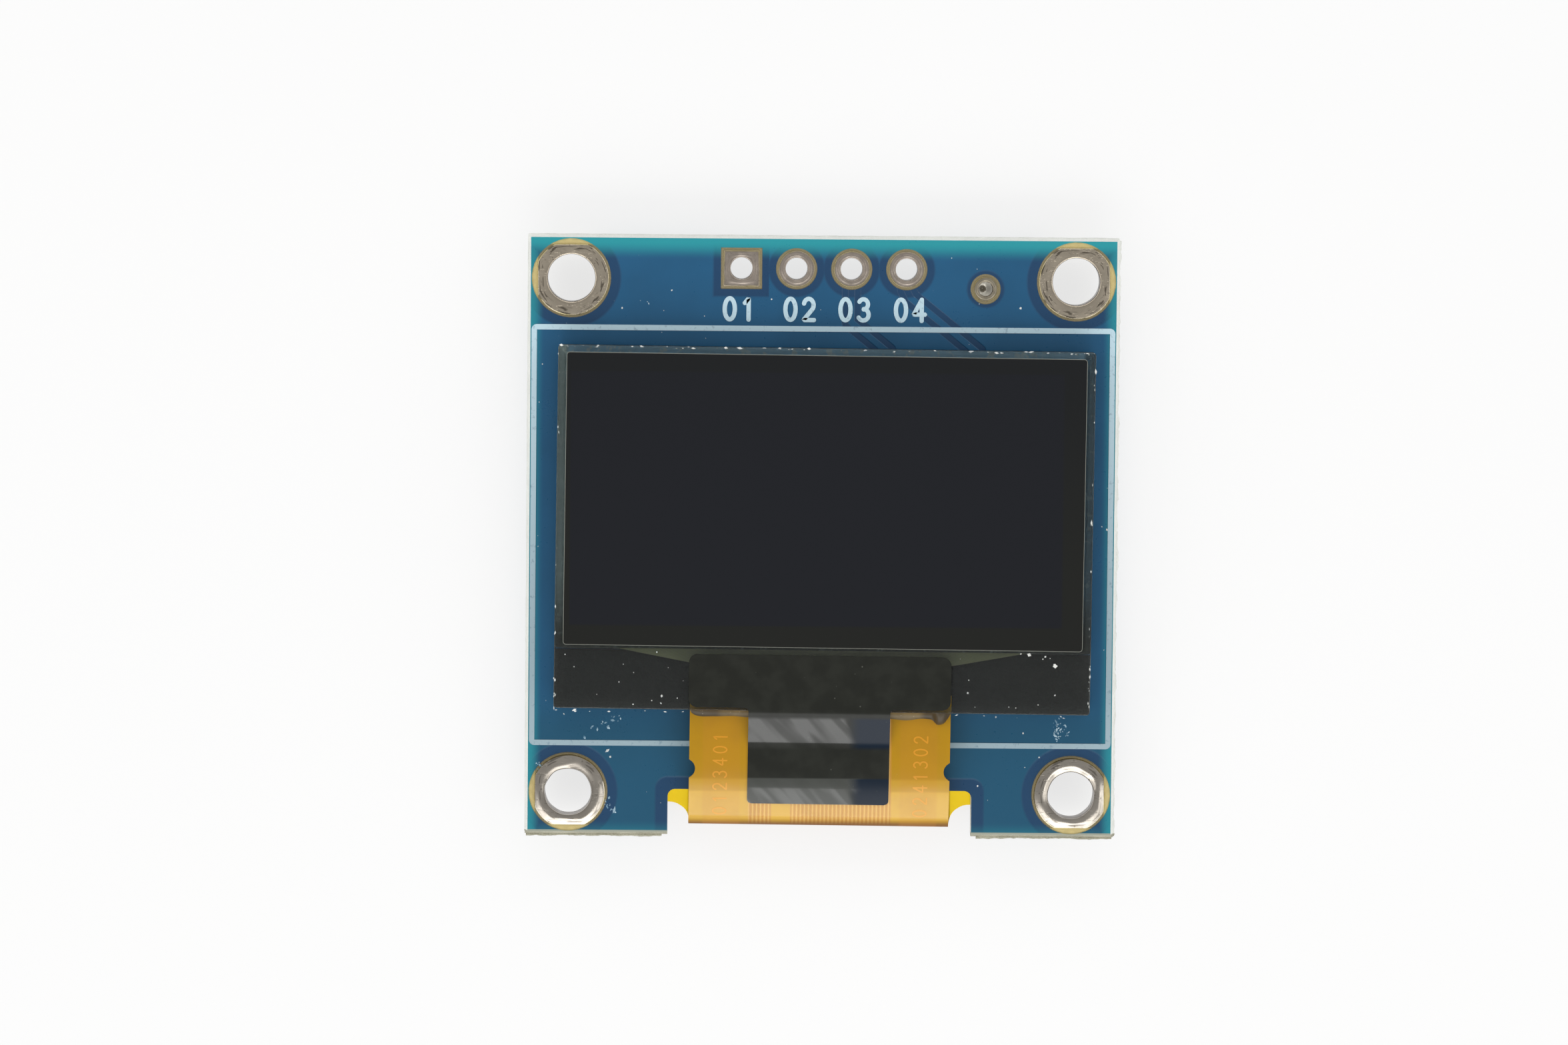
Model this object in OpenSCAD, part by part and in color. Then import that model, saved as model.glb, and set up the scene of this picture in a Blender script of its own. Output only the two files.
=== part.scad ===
// Small OLED display module on a V-scored circuit board, display side up.
// Origin: centre of the four mounting holes, on the back face of the laminate.
// +X runs to the right, +Y runs towards the header row and +Z out of the display.

/* [Board] */
// Width of the board
board_w = 27.3; // [26.5:0.1:32]
// Height of the board, from the flex edge to the header edge
board_h = 27.8; // [27.2:0.1:32]
// Thickness of the glass-epoxy laminate
board_t = 1.2; // [0.8:0.1:1.6]
// Depth of the V-score along each edge, on either face
score_depth = 0.4; // [0.1:0.05:0.5]
// Width of the V-score at the surface
score_w = 0.13; // [0.05:0.01:0.2]
// Width of the routed notch that the flex folds through
notch_w = 14.08; // [13.6:0.1:15]
// Depth of the notch
notch_depth = 2.15; // [1.5:0.05:2.6]
// Radius in the notch's inner corners
notch_r = 0.35; // [0.1:0.05:0.6]
// Thickness of the solder mask
mask_t = 0.04; // [0.02:0.01:0.06]
// Thickness of the copper and tin on every pad
copper_t = 0.06; // [0.04:0.01:0.1]
// Thickness of the plating on the wall of a hole
plating_t = 0.05; // [0.03:0.01:0.08]

/* [Mounting holes] */
// Diameter of the mounting holes, plated
mount_d = 2.2; // [1.8:0.1:2.4]
// Distance from each mounting hole's centre to the two nearest board edges
mount_inset = 2.0; // [1.8:0.05:2.1]
// Diameter of the tinned ring round a mounting hole
mount_ring_d = 3.44; // [2.8:0.02:3.5]
// Clearance from a ring's edge to the solder mask
mount_mask_gap = 0.11; // [0.05:0.01:0.15]
// Distance kept between a ring's copper and the board's edges
edge_clearance = 0.45; // [0.2:0.05:0.6]

/* [Header row] */
// Pitch of the four header holes
header_pitch = 2.54; // [2:0.01:2.54]
// Diameter of the header holes, plated
header_d = 1.02; // [0.8:0.01:1.1]
// Width of a header pad
header_pad_w = 1.65; // [1.4:0.01:1.8]
// Clearance from a header pad to the solder mask
header_mask_gap = 0.13; // [0.05:0.01:0.2]
// Distance from the header row to the board's edge
header_inset = 1.5; // [1.3:0.05:1.8]

/* [Test point] */
// Distance from the test point to the right-hand mounting hole's centre line
test_inset = 4.19; // [3.5:0.01:5]
// Distance from the test point to the header row's centre line
test_drop = 0.87; // [0.5:0.01:1.5]
// Diameter of the test point's hole, plated
test_d = 0.66; // [0.5:0.02:0.8]
// Diameter of the test point's pad
test_pad_d = 1.14; // [1:0.02:1.4]
// Height of the solder left in the test point, above the back face
test_solder_h = 0.95; // [0.5:0.05:1.1]

/* [Silkscreen] */
// Distance from the board's sides to the printed line's centre
outline_side = 0.3; // [0.28:0.01:0.6]
// Distance from the board's top and bottom edges to the printed line's centre
outline_end = 4.27; // [4.2:0.01:4.6]
// Width of the printed line
outline_line = 0.25; // [0.15:0.01:0.3]
// Thickness of the printed ink
ink_t = 0.02; // [0.01:0.01:0.03]

/* [Display] */
// Width of the display glass
glass_w = 24.74; // [23.5:0.02:25]
// Height of the front glass
glass_h = 16.9; // [16:0.1:17.2]
// Thickness of the front glass
glass_t = 0.55; // [0.4:0.05:0.7]
// Thickness of the rear cap glass
cap_t = 0.55; // [0.4:0.05:0.7]
// Radius of the glass corners
glass_r = 0.15; // [0.05:0.05:0.3]
// Height of the front glass that the cap leaves bare
ledge_h = 2.92; // [2.7:0.02:3.2]
// Offset of the display to the right of the board's centre
glass_x = 0.1; // [-0.3:0.05:0.3]
// Offset of the display above the board's centre
glass_y = 0.33; // [0.2:0.01:0.5]
// Distance from the glass's side edges to the polariser
polariser_side = 0.4; // [0.1:0.05:1]
// Thickness of the polariser
polariser_t = 0.2; // [0.1:0.05:0.3]
// Distance from the front glass's top edge to the polariser
polariser_top = 0.3; // [0.1:0.05:0.4]
// Distance from the cap glass's bottom edge to the polariser
polariser_foot = 0.18; // [0.1:0.02:0.4]
// Width of the driver chip
chip_w = 9.8; // [8:0.1:10.5]
// Height of the driver chip across the ledge
chip_h = 1.1; // [0.8:0.05:1.2]
// Thickness of the driver chip
chip_t = 0.3; // [0.2:0.05:0.4]
// Distance from the cap glass to the driver chip
chip_gap = 0.5; // [0.3:0.05:0.6]

/* [Foam under the display] */
// Thickness of the adhesive foam pad under the cap glass
pad_t = 0.35; // [0.25:0.05:0.6]
// Distance from the glass's edges to the foam
foam_inset = 0.38; // [0.2:0.02:0.6]
// Gap between the foam pad and the foam strip under the ledge
foam_gap = 0.2; // [0.1:0.05:0.3]

/* [Flex circuit] */
// Width of the flex where it leaves the glass
flex_w = 12.05; // [11.4:0.05:12.4]
// Thickness of the flex
flex_t = 0.1; // [0.08:0.01:0.14]
// Length of flex that is bonded to the ledge
flex_bond = 0.95; // [0.8:0.05:1]
// Distance from the board's bottom edge to the outside of the fold
fold_inset = 0.45; // [0.3:0.05:0.6]
// Length of flex that runs flat beyond the glass before it sweeps down
flat_run = 1.0; // [0.7:0.05:1.3]
// Slope at the end of the flex's gentle sweep, where the fold begins
sweep_angle = 20; // [15:1:30]
// Outer radius of the fold's tight lower bend
fold_r = 0.75; // [0.6:0.05:1]
// Overlap of the tail's shoulder behind each side of the notch
shoulder_lap = 0.4; // [0.2:0.05:1]
// Clearance from the mounting rings to the tail's wide part
tail_clearance = 0.45; // [0.3:0.05:0.8]
// Bare edge of the tail outside its first and last solder joints
tail_margin = 0.15; // [0.05:0.05:0.3]
// Distance from the outside of the fold to the tail's shoulder
shoulder_start = 1.2; // [1.1:0.05:1.4]
// Length of the tail's wide part
tail_h = 4.7; // [4:0.05:6]
// Radius between the strap and the tail's shoulder
tail_r = 0.95; // [0.5:0.05:1]
// Radius of the half-round fold marks in the flex's sides
mark_r = 0.46; // [0.3:0.02:0.6]
// Depth of the fold marks
mark_depth = 0.28; // [0.1:0.02:0.3]
// Distance from the outside of the fold to the fold marks
mark_y = 2.69; // [2.5:0.01:2.9]
// Height and reach of the clear resin along the glass edge
resin_r = 0.42; // [0.2:0.02:0.5]

/* [Light-shield tape] */
// Width of the tape's bar over the driver chip
bar_w = 12.1; // [10.5:0.1:12.4]
// Height of the bar
bar_h = 2.5; // [2:0.05:2.6]
// Distance from the bar to the glass's bottom edge
bar_inset = 0.24; // [0.1:0.02:0.4]
// Radius of the bar's corners
bar_r = 0.4; // [0.2:0.05:0.5]
// Width of the stem down the flex
stem_w = 6.54; // [5:0.02:7]
// Distance from the outside of the fold to the stem's end
stem_end = 1.09; // [0.7:0.01:1.3]
// Thickness of the tape
tape_t = 0.05; // [0.04:0.01:0.08]

/* [Tail joints] */
// Number of solder joints along the tail's end
joint_count = 30; // [24:1:30]
// Pitch of the solder joints
joint_pitch = 0.62; // [0.58:0.01:0.62]
// Width of one solder joint
joint_w = 0.34; // [0.25:0.01:0.36]
// Length of each board pad beyond the tail's end
joint_toe = 0.9; // [0.6:0.05:1.2]
// Length of solder lying on the flex
joint_lap = 0.8; // [0.4:0.05:1]
// Height of the solder over the flex
joint_h = 0.08; // [0.04:0.01:0.12]

/* [Parts on the back] */
// Pitch of the chip parts in the row beside the tail joints
part_pitch = 2.7; // [2.6:0.05:3]
// Distance from the tail's board pads to that row
part_row_gap = 2.2; // [1:0.1:2.5]
// Distance from the header row to the upper row of parts
upper_row_drop = 5.8; // [5.4:0.1:6.5]
// Distance from the board's centre line to the first resistor column
column_x = 7.2; // [7:0.1:8]
// Pitch of the resistor columns
column_pitch = 2.0; // [1.8:0.1:2.2]
// Distance from the board's centre line to the regulator
regulator_x = 7.6; // [7.4:0.1:8]
// Distance from the regulator to the capacitor on each side of it
regulator_side = 3.0; // [2.8:0.05:3.2]
// Length of a chip part
part_l = 1.6; // [1.4:0.05:1.7]
// Width of a chip part
part_w = 0.8; // [0.7:0.05:0.9]
// Height of a chip capacitor
capacitor_h = 0.8; // [0.6:0.05:0.9]
// Height of a chip resistor
resistor_h = 0.45; // [0.35:0.05:0.6]
// Length of a chip part's metal end caps
end_cap = 0.3; // [0.2:0.02:0.4]
// Length of each solder pad beyond a part's end
pad_toe = 0.4; // [0.3:0.05:0.5]
// Gap from a pad on the back to the solder mask
pad_gap = 0.08; // [0.05:0.01:0.12]
// Width of the regulator's moulded body
regulator_w = 2.9; // [2.8:0.05:3]
// Depth of the regulator's moulded body
regulator_d = 1.3; // [1.2:0.05:1.5]
// Height of the regulator's moulded body
regulator_h = 1.0; // [0.9:0.05:1.2]
// Distance between the regulator's paired leads
lead_pitch = 1.9; // [1.8:0.05:2]
// Width of a regulator lead
lead_w = 0.4; // [0.3:0.02:0.5]
// Thickness of a regulator lead
lead_t = 0.12; // [0.1:0.01:0.15]
// Reach of a regulator lead from the body
lead_reach = 0.6; // [0.5:0.02:0.7]

/* [Hidden] */
$fn = 48;
eps = 0.01;
cut = 5;

// Board
mount_x = board_w / 2 - mount_inset;
mount_y = board_h / 2 - mount_inset;
mount_places = [[-mount_x, mount_y], [mount_x, mount_y], [-mount_x, -mount_y], [mount_x, -mount_y]];
header_count = 4;
header_y = board_h / 2 - header_inset;
header_x = [for (i = [0 : header_count - 1]) (i - (header_count - 1) / 2) * header_pitch];
test_place = [mount_x - test_inset, header_y - test_drop];
notch_y = notch_depth - board_h / 2;
mask_w = board_w - 2 * score_w;
mask_h = board_h - 2 * score_w;
outline_w = board_w - 2 * outline_side;
outline_h = board_h - 2 * outline_end;
front_z = board_t + mask_t;
print_z = front_z + ink_t;

// Display stack, from the print upwards
cap_z = print_z + pad_t;
ledge_z = cap_z + cap_t;
face_z = ledge_z + glass_t;
glass_top = glass_y + glass_h / 2;
glass_bottom = glass_y - glass_h / 2;
cap_bottom = glass_bottom + ledge_h;
polariser_y = cap_bottom + polariser_foot;
polariser_w = glass_w - 2 * polariser_side;
polariser_h = glass_top - polariser_top - polariser_y;
chip_y = cap_bottom - chip_gap - chip_h;

// Flex, along its outer face: flat, then a gentle sweep, the fold's upper bend and its lower bend.
// The sweep's centre, the bend's centre and both radii follow from where the face must start,
// turn and end, because each arc leaves the one before it at the same slope.
foot_y = glass_bottom - flat_run;
fold_y = fold_inset - board_h / 2;
tail_z = -mask_t - flex_t;
bend_z = tail_z + fold_r;
sweep_run = foot_y - fold_y;
sweep_less_upper = (sweep_run - ledge_z + bend_z) / (sin(sweep_angle) + cos(sweep_angle) - 1);
upper_r = sweep_run - sweep_less_upper * sin(sweep_angle);
sweep_r = upper_r + sweep_less_upper;
shoulder_y = fold_y + shoulder_start;
shoulder_w = notch_w + 2 * shoulder_lap;
tail_y = mount_ring_d / 2 + tail_clearance - mount_y;
tail_w = joint_count * joint_pitch + 2 * tail_margin;
tail_end = tail_y + tail_h;

// Tape
bar_y = glass_bottom + bar_inset;
stem_y = fold_y + stem_end;

// Solder pads and parts on the back: place and turn of each part
back_z = -copper_t;
part_row_y = tail_end + joint_toe + part_row_gap;
upper_row_y = header_y - upper_row_drop;
capacitor_places = [
    [-part_pitch, part_row_y, 0],
    [0, part_row_y, 0],
    [part_pitch, part_row_y, 0],
    [2 * part_pitch, part_row_y, 0],
    [regulator_x - regulator_side, upper_row_y, 90],
    [regulator_x + regulator_side, upper_row_y, 90]
];
resistor_places = [
    [-3 * part_pitch, part_row_y, 0],
    [-2 * part_pitch, part_row_y, 0],
    [-column_x, upper_row_y, 90],
    [column_pitch - column_x, upper_row_y, 90],
    [2 * column_pitch - column_x, upper_row_y, 90],
    [0, upper_row_y, 0]
];
regulator_place = [regulator_x, upper_row_y];
regulator_lift = 0.1;
lead_pad_w = 1.5 * lead_w;
lead_offsets = [[-lead_pitch / 2, 1], [lead_pitch / 2, 1], [0, -1]];

// Flat outlines

module rounded_plate(w, h, r) {
    square([w - 2 * r, h], center = true);
    square([w, h - 2 * r], center = true);
    for (x = [-1, 1], y = [-1, 1])
        translate([x * (w / 2 - r), y * (h / 2 - r)]) circle(r);
}

// The corner left between two straight edges and a round of radius r, in the quadrant [sx, sy]
module inside_corner(r, sx, sy) {
    difference() {
        translate([min(0, sx * r), min(0, sy * r)]) square(r);
        translate([sx * r, sy * r]) circle(r);
    }
}

module notch() {
    flare = board_h;
    difference() {
        translate([-notch_w / 2, notch_y - flare]) square([notch_w, flare]);
        translate([-notch_w / 2, notch_y]) inside_corner(notch_r, 1, -1);
        translate([notch_w / 2, notch_y]) inside_corner(notch_r, -1, -1);
    }
}

// Mounting ring, cut straight where it would come too near the board's edges
module mount_pad(place) {
    intersection() {
        translate(place) circle(d = mount_ring_d);
        square([board_w - 2 * edge_clearance, board_h - 2 * edge_clearance], center = true);
    }
}

// The first header pad is square and the others are round
module header_pad(i, gap) {
    translate([header_x[i], header_y])
        if (i == 0) square(header_pad_w + 2 * gap, center = true);
        else circle(d = header_pad_w + 2 * gap);
}

module mask_outline() {
    difference() {
        square([mask_w, mask_h], center = true);
        notch();
        for (p = mount_places) translate(p) circle(d = mount_ring_d + 2 * mount_mask_gap);
        for (i = [0 : header_count - 1]) header_pad(i, header_mask_gap);
        translate(test_place) circle(d = test_pad_d + 2 * header_mask_gap);
    }
}

// Solder pads for the flex tail, the chip parts and the regulator, grown by gap
module tail_pad_shapes(gap) {
    for (i = [0 : joint_count - 1])
        translate([(i - (joint_count - 1) / 2) * joint_pitch - joint_w / 2 - gap, tail_end + eps])
            square([joint_w + 2 * gap, joint_toe + gap]);
}

module part_pad_shapes(gap) {
    pad_l = end_cap + pad_toe + 2 * gap;
    for (p = concat(capacitor_places, resistor_places))
        translate([p[0], p[1]]) rotate(p[2]) for (side = [-1, 1])
            translate([side * (part_l / 2 + (pad_toe - end_cap) / 2), 0])
                square([pad_l, part_w + 2 * gap], center = true);
}

module regulator_pad_shapes(gap) {
    for (lead = lead_offsets)
        translate(regulator_place + [lead[0], lead[1] * (regulator_d / 2 + lead_reach)])
            square([lead_pad_w + 2 * gap, lead_reach + 2 * gap], center = true);
}

// Board and what is printed or plated on it

module score_cutters(w, h) {
    for (turn = [0 : 3]) {
        along = turn % 2 == 0 ? w : h;
        across = turn % 2 == 0 ? h : w;
        rotate(90 * turn) translate([-along, -across / 2, 0]) rotate([90, 0, 90])
            linear_extrude(2 * along) {
                polygon([[-eps, -eps], [score_w, 0], [0, score_depth], [-eps, score_depth]]);
                polygon([[-eps, board_t + eps], [score_w, board_t],
                    [0, board_t - score_depth], [-eps, board_t - score_depth]]);
            }
    }
}

module circuit_board() {
    color("darkkhaki") difference() {
        linear_extrude(board_t) difference() {
            square([board_w, board_h], center = true);
            notch();
            for (p = mount_places) translate(p) circle(d = mount_d + 2 * plating_t);
            for (x = header_x) translate([x, header_y]) circle(d = header_d + 2 * plating_t);
            translate(test_place) circle(d = test_d + 2 * plating_t);
        }
        score_cutters(board_w, board_h);
    }
}

module front_solder_mask() {
    color("royalblue") translate([0, 0, board_t]) linear_extrude(mask_t) mask_outline();
}

module back_solder_mask() {
    color("royalblue") translate([0, 0, -mask_t]) linear_extrude(mask_t) difference() {
        mask_outline();
        tail_pad_shapes(pad_gap);
        part_pad_shapes(pad_gap);
        regulator_pad_shapes(pad_gap);
    }
}

module silkscreen_outline() {
    color("white") translate([0, 0, front_z]) linear_extrude(ink_t) difference() {
        rounded_plate(outline_w + outline_line, outline_h + outline_line, outline_line);
        square([outline_w - outline_line, outline_h - outline_line], center = true);
    }
}

// A plated hole: a ring of the child's outline on each face, joined by the plated barrel
module eyelet(place, hole_d) {
    difference() {
        union() {
            translate([0, 0, board_t]) linear_extrude(copper_t) children();
            translate([0, 0, -copper_t]) linear_extrude(copper_t) children();
            translate([place[0], place[1], -copper_t])
                cylinder(d = hole_d + 2 * plating_t, h = board_t + 2 * copper_t);
        }
        translate([place[0], place[1], -cut]) cylinder(d = hole_d, h = 2 * cut);
    }
}

module mount_eyelet(i) {
    color("silver") eyelet(mount_places[i], mount_d) mount_pad(mount_places[i]);
}

module header_eyelet(i) {
    color("silver") eyelet([header_x[i], header_y], header_d) header_pad(i, 0);
}

module test_point_eyelet() {
    color("silver") eyelet(test_place, test_d) translate(test_place) circle(d = test_pad_d);
}

module test_point_solder() {
    color("gray") translate(test_place) cylinder(d = test_d, h = test_solder_h);
}

// Display

module foam(bottom, top, h) {
    foam_w = glass_w - 2 * foam_inset;
    translate([glass_x - foam_w / 2, bottom, print_z]) cube([foam_w, top - bottom, h]);
}

module adhesive_pad() {
    color("black") foam(cap_bottom + foam_gap, glass_top - foam_inset, pad_t);
}

// Fills the room under the ledge, up to the back of the driver chip
module ledge_foam() {
    color("black") foam(glass_bottom + foam_inset, cap_bottom - foam_gap, ledge_z - chip_t - print_z);
}

module cap_glass() {
    color("dimgray") translate([glass_x, (glass_top + cap_bottom) / 2, cap_z])
        linear_extrude(cap_t) rounded_plate(glass_w, glass_top - cap_bottom, glass_r);
}

module front_glass() {
    color("slategray") translate([glass_x, glass_y, ledge_z])
        linear_extrude(glass_t) rounded_plate(glass_w, glass_h, glass_r);
}

module polariser() {
    color("black") translate([glass_x, polariser_y + polariser_h / 2, face_z])
        linear_extrude(polariser_t) rounded_plate(polariser_w, polariser_h, glass_r);
}

module driver_chip() {
    color("darkslategray") translate([glass_x - chip_w / 2, chip_y, ledge_z - chip_t])
        cube([chip_w, chip_h, chip_t]);
}

// Flex circuit

// Part of a ring in the [y, z] plane, of outer radius r and wall t, about the centre [y, z].
// The angles start at the top and grow towards the fold's outside.
module arc_section(y, z, r, t, from, to) {
    far = 2 * r;
    translate([y, z]) intersection() {
        difference() {
            circle(r);
            circle(r - t);
        }
        polygon(concat([[0, 0]], [for (a = [from, (from + to) / 2, to]) far * [-sin(a), cos(a)]]));
    }
}

// The sweep and the upper bend, of wall t, with its outer face raised by lift
module upper_arcs(t, lift) {
    arc_section(foot_y, ledge_z - sweep_r, sweep_r + lift, t, 0, sweep_angle);
    arc_section(fold_y + upper_r, bend_z, upper_r + lift, t, sweep_angle, 90);
}

// Stands a [y, z] section up and gives it the width w
module across_board(w) {
    translate([-w / 2, 0, 0]) rotate([90, 0, 90]) linear_extrude(w) children();
}

module flex_upper_section() {
    translate([foot_y, ledge_z - flex_t]) square([flat_run + flex_bond, flex_t]);
    upper_arcs(flex_t, 0);
}

module flex_lower_section() {
    bend_y = fold_y + fold_r;
    translate([bend_y, tail_z]) square([tail_end - bend_y, flex_t]);
    arc_section(bend_y, bend_z, fold_r, flex_t, 90, 180);
}

module strap_outline() {
    difference() {
        translate([-flex_w / 2, -board_h]) square([flex_w, 2 * board_h]);
        for (side = [-1, 1])
            translate([side * (flex_w / 2 + mark_r - mark_depth), fold_y + mark_y]) circle(mark_r);
    }
}

module tail_outline() {
    translate([-flex_w / 2, -board_h]) square([flex_w, board_h]);
    translate([-shoulder_w / 2, shoulder_y]) square([shoulder_w, board_h]);
    translate([-tail_w / 2, tail_y]) square([tail_w, board_h]);
    for (side = [-1, 1]) {
        translate([side * flex_w / 2, shoulder_y]) inside_corner(tail_r, side, -1);
        translate([side * shoulder_w / 2, tail_y]) inside_corner(tail_r, side, -1);
    }
}

module flex_circuit() {
    color("goldenrod") translate([glass_x / 2, 0, 0]) {
        intersection() {
            across_board(tail_w) flex_upper_section();
            translate([0, 0, -cut]) linear_extrude(2 * cut) strap_outline();
        }
        intersection() {
            across_board(tail_w) flex_lower_section();
            translate([0, 0, -cut]) linear_extrude(2 * cut) tail_outline();
        }
    }
}

module resin_bead() {
    color("lightyellow") translate([glass_x / 2, 0, 0]) across_board(flex_w)
        translate([glass_bottom, ledge_z]) inside_corner(resin_r, -1, 1);
}

// Light-shield tape

module tape_outline() {
    translate([0, bar_y + bar_h / 2]) rounded_plate(bar_w, bar_h, bar_r);
    translate([0, (bar_y + stem_y) / 2 + bar_r]) rounded_plate(stem_w, bar_y - stem_y + 2 * bar_r, bar_r / 2);
    for (side = [-1, 1]) translate([side * stem_w / 2, bar_y]) inside_corner(bar_r / 2, side, -1);
}

module tape_section() {
    translate([glass_bottom, face_z]) square([bar_h + bar_inset + eps, tape_t]);
    polygon([[glass_bottom, face_z], [glass_bottom, face_z + tape_t],
        [foot_y, ledge_z + tape_t], [foot_y, ledge_z]]);
    upper_arcs(tape_t, tape_t);
}

module light_shield_tape() {
    color("black") intersection() {
        across_board(bar_w) tape_section();
        translate([0, 0, -cut]) linear_extrude(2 * cut) tape_outline();
    }
}

// Back of the board

module back_pads() {
    color("silver") translate([0, 0, back_z]) linear_extrude(copper_t) {
        tail_pad_shapes(0);
        part_pad_shapes(0);
        regulator_pad_shapes(0);
    }
}

// Each joint starts on its board pad and laps over the end of the flex
module tail_joints() {
    color("silver") for (i = [0 : joint_count - 1])
        translate([(i - (joint_count - 1) / 2) * joint_pitch, 0, 0]) across_board(joint_w)
            polygon([[tail_end, back_z], [tail_end + joint_toe, back_z],
                [tail_end + joint_toe / 3, tail_z - joint_h], [tail_end - joint_lap / 2, tail_z - joint_h],
                [tail_end - joint_lap, tail_z], [tail_end, tail_z]]);
}

// A chip part between its two metal end caps, which stand a little proud of the body
module chip_part(p, h) {
    proud = 0.02;
    translate([p[0], p[1], back_z]) rotate([180, 0, p[2]]) {
        translate([-part_l / 2 + eps, -part_w / 2 + proud, proud])
            cube([part_l - 2 * eps, part_w - 2 * proud, h - 2 * proud]);
        for (side = [-1, 1])
            translate([side * (part_l - end_cap) / 2 - end_cap / 2, -part_w / 2, 0])
                cube([end_cap, part_w, h]);
    }
}

module capacitor(i) {
    color("peru") chip_part(capacitor_places[i], capacitor_h);
}

module resistor(i) {
    color("dimgray") chip_part(resistor_places[i], resistor_h);
}

// A hollow-faced fillet of solder against each end of a part of height h
module end_fillets(p, h) {
    rise = min(pad_toe, h - eps);
    translate([p[0], p[1], back_z]) rotate([180, 0, p[2]]) for (side = [0, 180])
        rotate(side) translate([part_l / 2, part_w / 2, 0]) rotate([90, 0, 0])
            linear_extrude(part_w) inside_corner(rise, 1, 1);
}

module part_solder() {
    color("silver") {
        for (p = capacitor_places) end_fillets(p, capacitor_h);
        for (p = resistor_places) end_fillets(p, resistor_h);
    }
}

module regulator_body() {
    color("black") translate([regulator_place[0] - regulator_w / 2, regulator_place[1] - regulator_d / 2,
        back_z - regulator_lift - regulator_h]) cube([regulator_w, regulator_d, regulator_h]);
}

// A gull-wing lead: out of the body's side at mid height, down, and flat on its pad
module lead_section() {
    top = regulator_lift + regulator_h / 2;
    knee = lead_reach / 2;
    polygon([[0, top], [knee, top], [knee + lead_t, lead_t], [lead_reach, lead_t],
        [lead_reach, 0], [knee, 0], [knee - lead_t, top - lead_t], [0, top - lead_t]]);
}

module regulator_leads() {
    color("silver") for (lead = lead_offsets)
        translate([regulator_place[0] + lead[0], regulator_place[1], back_z])
            rotate([180, 0, lead[1] > 0 ? 0 : 180]) translate([0, -regulator_d / 2, 0])
                rotate([0, 0, 180]) across_board(lead_w) lead_section();
}

circuit_board();
front_solder_mask();
back_solder_mask();
silkscreen_outline();
mount_eyelet(0);  // mount_eyelet_1
mount_eyelet(1);  // mount_eyelet_2
mount_eyelet(2);  // mount_eyelet_3
mount_eyelet(3);  // mount_eyelet_4
header_eyelet(0);  // header_eyelet_1
header_eyelet(1);  // header_eyelet_2
header_eyelet(2);  // header_eyelet_3
header_eyelet(3);  // header_eyelet_4
test_point_eyelet();
test_point_solder();
adhesive_pad();
ledge_foam();
cap_glass();
front_glass();
polariser();
driver_chip();
flex_circuit();
resin_bead();
light_shield_tape();
back_pads();
tail_joints();
part_solder();
regulator_body();
regulator_leads();
capacitor(0);  // capacitor_1
capacitor(1);  // capacitor_2
capacitor(2);  // capacitor_3
capacitor(3);  // capacitor_4
capacitor(4);  // capacitor_5
capacitor(5);  // capacitor_6
resistor(0);  // resistor_1
resistor(1);  // resistor_2
resistor(2);  // resistor_3
resistor(3);  // resistor_4
resistor(4);  // resistor_5
resistor(5);  // resistor_6
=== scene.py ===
"""A small OLED display module on its circuit board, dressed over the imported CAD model."""
import functools
import math

import bpy
import numpy as np
from bpy.props import FloatProperty, FloatVectorProperty, IntProperty, PointerProperty
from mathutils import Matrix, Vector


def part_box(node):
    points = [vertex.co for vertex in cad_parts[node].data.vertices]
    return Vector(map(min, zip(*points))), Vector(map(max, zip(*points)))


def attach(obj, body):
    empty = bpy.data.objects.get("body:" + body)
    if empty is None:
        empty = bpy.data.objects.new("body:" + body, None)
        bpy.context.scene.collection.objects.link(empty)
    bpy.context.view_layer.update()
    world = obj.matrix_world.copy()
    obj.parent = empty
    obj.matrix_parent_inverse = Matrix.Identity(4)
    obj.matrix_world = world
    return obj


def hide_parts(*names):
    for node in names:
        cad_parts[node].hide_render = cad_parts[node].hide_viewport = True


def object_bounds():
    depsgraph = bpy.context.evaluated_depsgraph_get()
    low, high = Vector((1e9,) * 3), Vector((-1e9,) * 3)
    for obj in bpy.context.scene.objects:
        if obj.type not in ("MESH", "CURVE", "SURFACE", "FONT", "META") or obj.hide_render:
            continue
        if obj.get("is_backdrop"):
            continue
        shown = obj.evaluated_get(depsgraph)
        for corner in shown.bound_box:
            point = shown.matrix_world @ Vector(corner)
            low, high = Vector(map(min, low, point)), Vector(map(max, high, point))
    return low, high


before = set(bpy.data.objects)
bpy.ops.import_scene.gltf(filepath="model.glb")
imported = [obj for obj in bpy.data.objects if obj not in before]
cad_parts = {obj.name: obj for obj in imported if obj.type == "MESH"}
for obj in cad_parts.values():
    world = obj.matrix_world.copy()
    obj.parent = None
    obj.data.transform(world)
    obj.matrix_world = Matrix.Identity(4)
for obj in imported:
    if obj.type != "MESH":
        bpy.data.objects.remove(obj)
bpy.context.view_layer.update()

bl_info = {
    "name": "Display Module",
    "version": (1, 0, 0),
    "blender": (4, 5, 0),
    "location": "3D View > Sidebar > Display Module",
    "description": "Dresses the CAD model of a small OLED display module with finished surfaces",
    "category": "Add Mesh",
}

MM = 0.001
BODY = "root"

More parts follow.
